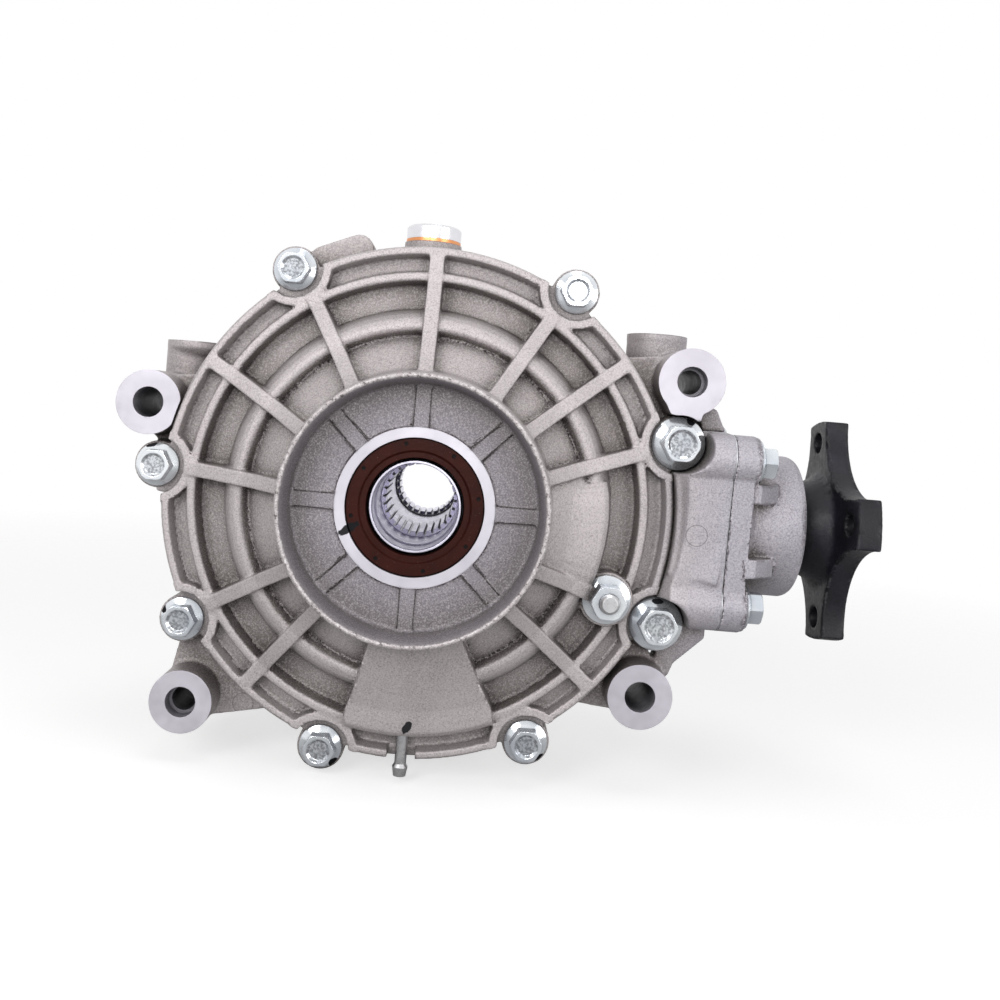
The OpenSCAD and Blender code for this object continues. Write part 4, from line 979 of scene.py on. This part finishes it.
@dataclass
class Finishes:
    """Every finish, and the CAD nodes that keep their own shape and take one."""

    marks: Marks = field(default_factory=Marks)
    made: dict[str, bpy.types.Material] = field(default_factory=dict)

    def metals(self) -> list[CutFinish]:
        """The finishes of machined, plated and ground metal.

        Returns:
            The finishes.
        """
        return [
            CutFinish("machined_aluminium", (0.68, 0.655, 0.72), (0.55, 0.525, 0.58),
                      metallic=0.45, roughness=0.4, recess_shade=0.99, recess_shade_reach=14.0 * MM,
                      dabs=(self.marks.ring_dab,)),
            CutFinish("zinc_plate", (0.90, 0.93, 0.96), (0.66, 0.70, 0.76), metallic=0.75,
                      roughness=0.12, streaks=300.0, depth=0.04 * MM, edge=0.4 * MM, recess_shade=0.85,
                      recess_shade_reach=5.0 * MM,
                      dabs=self.marks.bolt_dabs, dishes=self.marks.bolt_dishes()),
            CutFinish("bare_steel", (0.66, 0.66, 0.67), (0.5, 0.5, 0.52), roughness=0.3),
            CutFinish("plug_aluminium", (0.80, 0.80, 0.83), (0.66, 0.66, 0.70), roughness=0.24),
            CutFinish("copper_washer", (0.86, 0.38, 0.16), (0.62, 0.24, 0.10), metallic=0.9,
                      roughness=0.34, recess_shade=0.3),
            CutFinish("bearing_steel", (0.72, 0.73, 0.75), (0.6, 0.61, 0.63), roughness=0.14),
            CutFinish("cage_brass", (0.75, 0.56, 0.26), (0.6, 0.42, 0.18), roughness=0.3),
            CutFinish("shim_steel", (0.56, 0.57, 0.6), (0.45, 0.46, 0.48), roughness=0.35),
            CutFinish("sleeve_steel", (0.78, 0.76, 0.88), (0.62, 0.60, 0.70), roughness=0.3,
                      recess_shade=0.97, recess_shade_reach=4.0 * MM),
            CutFinish("gear_steel", (0.36, 0.36, 0.38), (0.22, 0.22, 0.24), roughness=0.33),
            CutFinish("black_oxide", (0.06, 0.06, 0.065), (0.03, 0.03, 0.034), metallic=0.6, roughness=0.4),
        ]

    def build(self) -> None:
        """Makes every finish and gives each CAD node its own."""
        marks = self.marks
        recipes = [
            CastFinish(dabs=(marks.sump_dab,), pins=marks.pin_marks),
            *self.metals(),
            RubberFinish("seal_brown", (0.044, 0.0072, 0.0040), (0.025, 0.0042, 0.0026),
                         dabs=(marks.ring_dab,), dents=marks.seal_dents()),
            RubberFinish("seal_black", (0.02, 0.02, 0.022), (0.012, 0.012, 0.014)),
            CoatFinish(),
        ]
        self.made = {recipe.name: recipe.build() for recipe in recipes}
        for row in frame["record"]["subparts"]:
            node = frame["nodes"][row["node"]]
            node.data.materials.clear()
            node.data.materials.append(self.made[row["material_slot"]])
            Bench.pick(node)
            bpy.ops.object.shade_smooth_by_angle(angle=FINE_ANGLE)
            LOG.info("%s: %s", row["node"], row["material_slot"])


@dataclass
class CoverCasting:
    """The ribbed side cover, in millimetres and degrees.

    A mill, fill or bore is given by its length and radius.
    """

    joint_y: float = -20.0
    joint_stock: float = 1.6
    joint_mill: tuple[float, float] = (6.0, 135.0)
    ring_y: float = -51.0
    ring_stock: float = 1.2
    ring_mill: tuple[float, float] = (-6.0, 31.5)
    seal_fill: tuple[float, float] = (7.0, 29.5)
    seal_bore: tuple[float, float] = (13.2, 27.3)
    seal_bore_start: float = 5.0
    rib_t: float = 6.0
    free_ribs: tuple[float, ...] = (38, 90, 150, 231, 317.5)
    bolt_ribs: tuple[float, ...] = (17, 58.5, 121.5, 176, 210.5, 337.5)
    rib_foot: tuple[tuple[float, float], ...] = (
        (78, -28), (71, -35), (51.6, -48), (51.6, -55.2), (66, -44.3), (70, -42.0), (73, -41.1),
        (77, -39.6), (84, -36.2), (91, -32.9))
    bolt_rib_end: tuple[tuple[float, float], ...] = ((95.3, -31.9), (95.3, -28))
    free_rib_end: tuple[tuple[float, float], ...] = ((103.4, -31.4), (103.4, -27))
    bulge_t: float = 7.0
    bulge: tuple[tuple[float, float], ...] = (
        (51.0, -36), (51.0, -47.6), (60, -45.4), (70, -42.6), (75.4, -40.7), (77.4, -39.0), (77.6, -30))
    bulge_drops: tuple[tuple[float, float], ...] = (
        (-18.5, 1.0), (-17.0, 0.5), (-15.5, 0.2), (-12.5, 0), (-9.5, 0), (-6.5, 0), (-3.5, 0), (-0.5, 0),
        (2.5, 0), (4.5, 0.2), (6.0, 0.5), (7.5, 1.0), (9.0, 1.7))

    def ribs(self) -> list[Web]:
        """The ribs, of which those at a bolt end short of its recess.

        Returns:
            The ribs.
        """
        free = [Web(self.rib_foot + self.free_rib_end, angle, self.rib_t) for angle in self.free_ribs]
        short = [Web(self.rib_foot + self.bolt_rib_end, angle, self.rib_t) for angle in self.bolt_ribs]
        return free + short

    def bulge_webs(self) -> list[Web]:
        """The raised bulge beside the pinion, as webs side by side.

        Returns:
            The webs.
        """
        webs = []
        for angle, drop in self.bulge_drops:
            webs.append(Web([(r, y + drop) for r, y in self.bulge], angle, self.bulge_t))
        return webs

    def skin(self) -> CastSkin:
        """The cover as a casting.

        Returns:
            The casting.
        """
        seat = Rod((0, self.ring_y - self.ring_stock, 0), Axis.Y, *self.seal_fill)
        mill_joint = Rod((0, self.joint_y, 0), Axis.Y, *self.joint_mill)
        mill_ring = Rod((0, self.ring_y, 0), Axis.Y, *self.ring_mill)
        bore = Rod((0, self.ring_y - self.seal_bore_start, 0), Axis.Y, *self.seal_bore)
        return CastSkin("side_cover", "cover_casting", voxel=0.62, smoothing=8, faces=205000,
                        inner_r=104.0, grown=[(Axis.Y, self.joint_y, self.joint_stock),
                                              (Axis.Y, self.ring_y, -self.ring_stock)],
                        stock=[seat] + self.ribs() + self.bulge_webs(),
                        passes=[[mill_joint, mill_ring], [bore]])


@dataclass
class CaseCasting:
    """The main case, in millimetres and degrees."""

    plain_bosses: tuple[tuple[float, float], ...] = ((-112.8, 32.2), (97.1, -71.6))
    tapped_bosses: tuple[tuple[float, float], ...] = ((108.0, 58.4), (-89.8, -88.9))
    boss_face: float = -31.5
    boss_end: float = 30.5
    boss_fill: tuple[float, float] = (64.0, 8.0)
    boss_hole_l: float = 80.0
    boss_hole_r: float = 5.0
    boss_wide_r: float = 6.25
    plain_wide_l: float = 51.0
    tapped_wide_l: float = 11.0
    pillars: tuple[tuple[float, float], ...] = ((-106.5, 60.0), (100.2, 79.8))
    pillar_y: float = 14.0
    pillar_hole_l: float = 17.0
    pillar_hole_r: float = 4.25
    pillar_drill_l: float = 25.0
    pillar_fill_r: float = 6.0
    neck_end: float = 125.5
    rear_face: float = 108.0
    fill_seat: Point = (-3.7, 4, 111)
    drain_seat: Point = (-2, 20, -107)
    mill_l: float = 5.0
    seat_mill_l: float = 4.0
    mill_r: float = 16.0
    neck_mill_r: float = 62.0
    rear_mill_r: float = 60.0
    stock_t: float = 1.6
    slope_t: float = 9.0
    slope_angles: tuple[float, ...] = (-8.5, -5.0, -1.5, 2.0, 5.5, 8.0)
    slope: tuple[tuple[float, float], ...] = (
        (105.4, -24), (105.4, -34.4), (112, -36.6), (125, -37.9), (125, -33.4), (118, -33.4), (117, -24))
    column: Rod = field(default_factory=lambda: Rod((100.2, 14, 46), Axis.Z, 30.0, 13.3))
    corner_web: tuple[tuple[float, float], ...] = (
        (104, -62), (110.5, -66), (112.6, -60), (125, -48.5), (125, -38), (106, -38))
    corner_web_depths: tuple[float, float] = (-17.5, -9.0)

    def stock(self) -> list[Rod | Web | Lug]:
        """What is added to the node: filled holes, the neck's slope, a column and a corner web.

        Returns:
            The pieces to add.
        """
        bosses = self.plain_bosses + self.tapped_bosses
        fills = [Rod((x, self.boss_face - self.stock_t, z), Axis.Y, *self.boss_fill) for x, z in bosses]
        for x, z in self.pillars:
            foot = (x, self.pillar_y, z - self.pillar_hole_l)
            fills.append(Rod(foot, Axis.Z, self.pillar_hole_l + self.stock_t, self.pillar_fill_r))
        slopes = [Web(self.slope, angle, self.slope_t) for angle in self.slope_angles]
        return fills + slopes + [self.column, Lug(self.corner_web, *self.corner_web_depths)]

    def faces(self) -> list[Rod]:
        """The milling cuts of the flat faces.

        Returns:
            The tools.
        """
        bosses = self.plain_bosses + self.tapped_bosses
        mill, radius = self.mill_l, self.mill_r
        cuts = [Rod((x, self.boss_face, z), Axis.Y, -mill, radius) for x, z in bosses]
        cuts += [Rod((x, self.boss_end, z), Axis.Y, mill, radius) for x, z in bosses]
        cuts += [Rod((x, self.pillar_y, z), Axis.Z, mill, radius) for x, z in self.pillars]
        cuts.append(Rod((self.neck_end, 0, 0), Axis.X, mill, self.neck_mill_r))
        cuts.append(Rod((0, self.rear_face, 0), Axis.Y, mill, self.rear_mill_r))
        cuts.append(Rod(self.fill_seat, Axis.Z, self.seat_mill_l, radius))
        cuts.append(Rod(self.drain_seat, Axis.Z, -self.seat_mill_l, radius))
        return cuts

    def holes(self) -> tuple[list[Rod], list[Rod]]:
        """The holes of the bosses and pillars.

        Returns:
            The wide drills and the narrow ones, which run on the same centres.
        """
        start, radius = self.boss_face - self.mill_l, self.boss_wide_r
        wide = [Rod((x, start, z), Axis.Y, self.plain_wide_l, radius) for x, z in self.plain_bosses]
        wide += [Rod((x, start, z), Axis.Y, self.tapped_wide_l, radius) for x, z in self.tapped_bosses]
        bosses = self.plain_bosses + self.tapped_bosses
        narrow = [Rod((x, start, z), Axis.Y, self.boss_hole_l, self.boss_hole_r) for x, z in bosses]
        for x, z in self.pillars:
            foot = (x, self.pillar_y, z - self.pillar_hole_l)
            narrow.append(Rod(foot, Axis.Z, self.pillar_drill_l, self.pillar_hole_r))
        return wide, narrow

    def skin(self) -> CastSkin:
        """The case as a casting.

        Returns:
            The casting.
        """
        more = self.stock_t
        grown = [(Axis.Y, self.boss_face, -more), (Axis.Y, self.boss_end, more),
                 (Axis.X, self.neck_end, more), (Axis.Y, self.rear_face, more),
                 (Axis.Z, self.fill_seat[2], more), (Axis.Z, self.drain_seat[2], -more)]
        grown += [(Axis.Z, z, more) for _, z in self.pillars]
        return CastSkin("main_case", "case_casting", voxel=0.95, smoothing=6, faces=200000, inner_r=94.0,
                        grown=grown, stock=self.stock(), passes=[self.faces(), *self.holes()])


@dataclass
class InputDrive:
    """The pinion housing and the input flange, in millimetres."""

    nose_end: float = 160.0
    nose_stock: float = 1.0
    nose_mill: tuple[float, float] = (4.0, 40.0)

    def housing(self) -> CastSkin:
        """The pinion housing as a casting.

        Returns:
            The casting.
        """
        mill = Rod((self.nose_end, 0, 0), Axis.X, *self.nose_mill)
        return CastSkin("pinion_housing", "housing_casting", voxel=0.55, smoothing=5, faces=90000,
                        grown=[(Axis.X, self.nose_end, self.nose_stock)], passes=[[mill]])

    def flange(self) -> CastSkin:
        """The forged input flange."""
        return CastSkin("input_flange", "flange_forging", voxel=0.6, smoothing=14, faces=90000,
                        body="input", slot="flange_black")


@dataclass(frozen=True)
class Lamp:
    """A square soft lamp that faces the gearbox, in metres and watts."""

    name: str
    at: Point
    size: float
    watts: float

    def light(self) -> None:
        """Puts the lamp in its place."""
        bpy.ops.object.light_add(type="AREA", location=self.at)
        lamp = bpy.context.object
        lamp.name = self.name
        lamp.data.size = self.size
        lamp.data.energy = self.watts
        lamp.rotation_euler = (-Vector(self.at)).to_track_quat("-Z", "Y").to_euler()


@dataclass
class Stage:
    """The floor, the white surroundings, the lamps and the camera, in metres, its lens in millimetres."""

    floor_z: float = CAD_BOX[0].z
    floor_r: float = 0.9
    floor_fade: tuple[float, float] = (0.25, 0.85)
    floor_grey: float = 0.55
    floor_glow: float = 0.64
    sky: float = 0.26
    lamps: tuple[Lamp, ...] = (
        Lamp("key", (-0.55, -0.95, 0.50), 0.5, 5.0),
        Lamp("side", (0.85, -0.75, 0.15), 0.5, 2.9),
        Lamp("axial", (0.02, -1.15, 0.30), 0.3, 3.2),
        Lamp("top", (0.1, -0.25, 1.0), 0.5, 2.2),
    )
    eye: Point = (0.0184, -0.4395, 0.0396)
    roll: float = math.radians(4.7)
    shift: tuple[float, float] = (0.03, -0.09)
    lens: float = 36.0

    def floor(self) -> None:
        """A pale round floor that fades into the background."""
        bpy.ops.object.select_all(action="DESELECT")
        bpy.ops.mesh.primitive_circle_add(vertices=96, radius=self.floor_r, fill_type="NGON",
                                          location=(0, 0, self.floor_z))
        floor = bpy.context.object
        floor.name = "floor"
        g = Graph("floor_paper")
        fade = g.span(g.vector("LENGTH", g.place).outputs["Value"], *self.floor_fade)
        path = g.add("ShaderNodeLightPath")
        paper = g.add("ShaderNodeBsdfDiffuse", {"Color": (self.floor_grey,) * 3 + (1.0,)})
        seen = g.product(path.outputs["Is Camera Ray"], self.floor_glow)
        glow = g.add("ShaderNodeEmission", {"Strength": seen})
        lit = g.add("ShaderNodeAddShader", {0: paper.outputs[0], 1: glow.outputs[0]})
        clear = g.add("ShaderNodeBsdfTransparent")
        mixed = g.add("ShaderNodeMixShader", {0: fade, 1: lit.outputs[0], 2: clear.outputs[0]})
        g.add("ShaderNodeOutputMaterial", {0: mixed.outputs[0]})
        floor.data.materials.append(g.material)

    def surroundings(self) -> None:
        """A white background, dimmer as a light."""
        world = bpy.data.worlds.new("studio")
        bpy.context.scene.world = world
        world.use_nodes = True
        nodes = Nodes(world.node_tree)
        path = nodes.add("ShaderNodeLightPath")
        rays = ("Is Camera Ray", "Is Glossy Ray", "Is Transmission Ray")
        seen = nodes.any_of([path.outputs[ray] for ray in rays])
        level = nodes.span(seen, 0.0, 1.0, self.sky, 1.0)
        light = nodes.add("ShaderNodeBackground", {"Color": (1.0, 1.0, 1.0, 1.0), "Strength": level})
        nodes.add("ShaderNodeOutputWorld", {0: light.outputs[0]})

    def camera(self) -> None:
        """The camera of the photograph, turned with the tilt that the photograph has."""
        data = bpy.data.cameras.new("photo_camera")
        camera = bpy.data.objects.new("photo_camera", data)
        bpy.context.scene.collection.objects.link(camera)
        data.lens = data.sensor_width = self.lens
        data.shift_x, data.shift_y = self.shift
        data.clip_start = 0.01
        right = Vector((math.cos(self.roll), 0, math.sin(self.roll)))
        up = Vector((-math.sin(self.roll), 0, math.cos(self.roll)))
        turn = Matrix((right, up, right.cross(up))).transposed()
        camera.matrix_world = Matrix.Translation(self.eye) @ turn.to_4x4()
        bpy.context.scene.camera = camera

    def build(self) -> None:
        """Sets the whole stage."""
        bpy.context.scene.view_settings.view_transform = "Standard"
        self.floor()
        self.surroundings()
        for lamp in self.lamps:
            lamp.light()
        self.camera()


def main() -> None:
    """Builds the pieces in order."""
    logging.basicConfig(level=logging.INFO, format="%(message)s")
    Stage().build()
    finishes = Finishes()
    finishes.build()
    drive = InputDrive()
    for skin in (CoverCasting().skin(), CaseCasting().skin(), drive.housing(), drive.flange()):
        skin.build(finishes.made[skin.slot], finishes.made["machined_aluminium"])


if __name__ == "__main__":
    main()
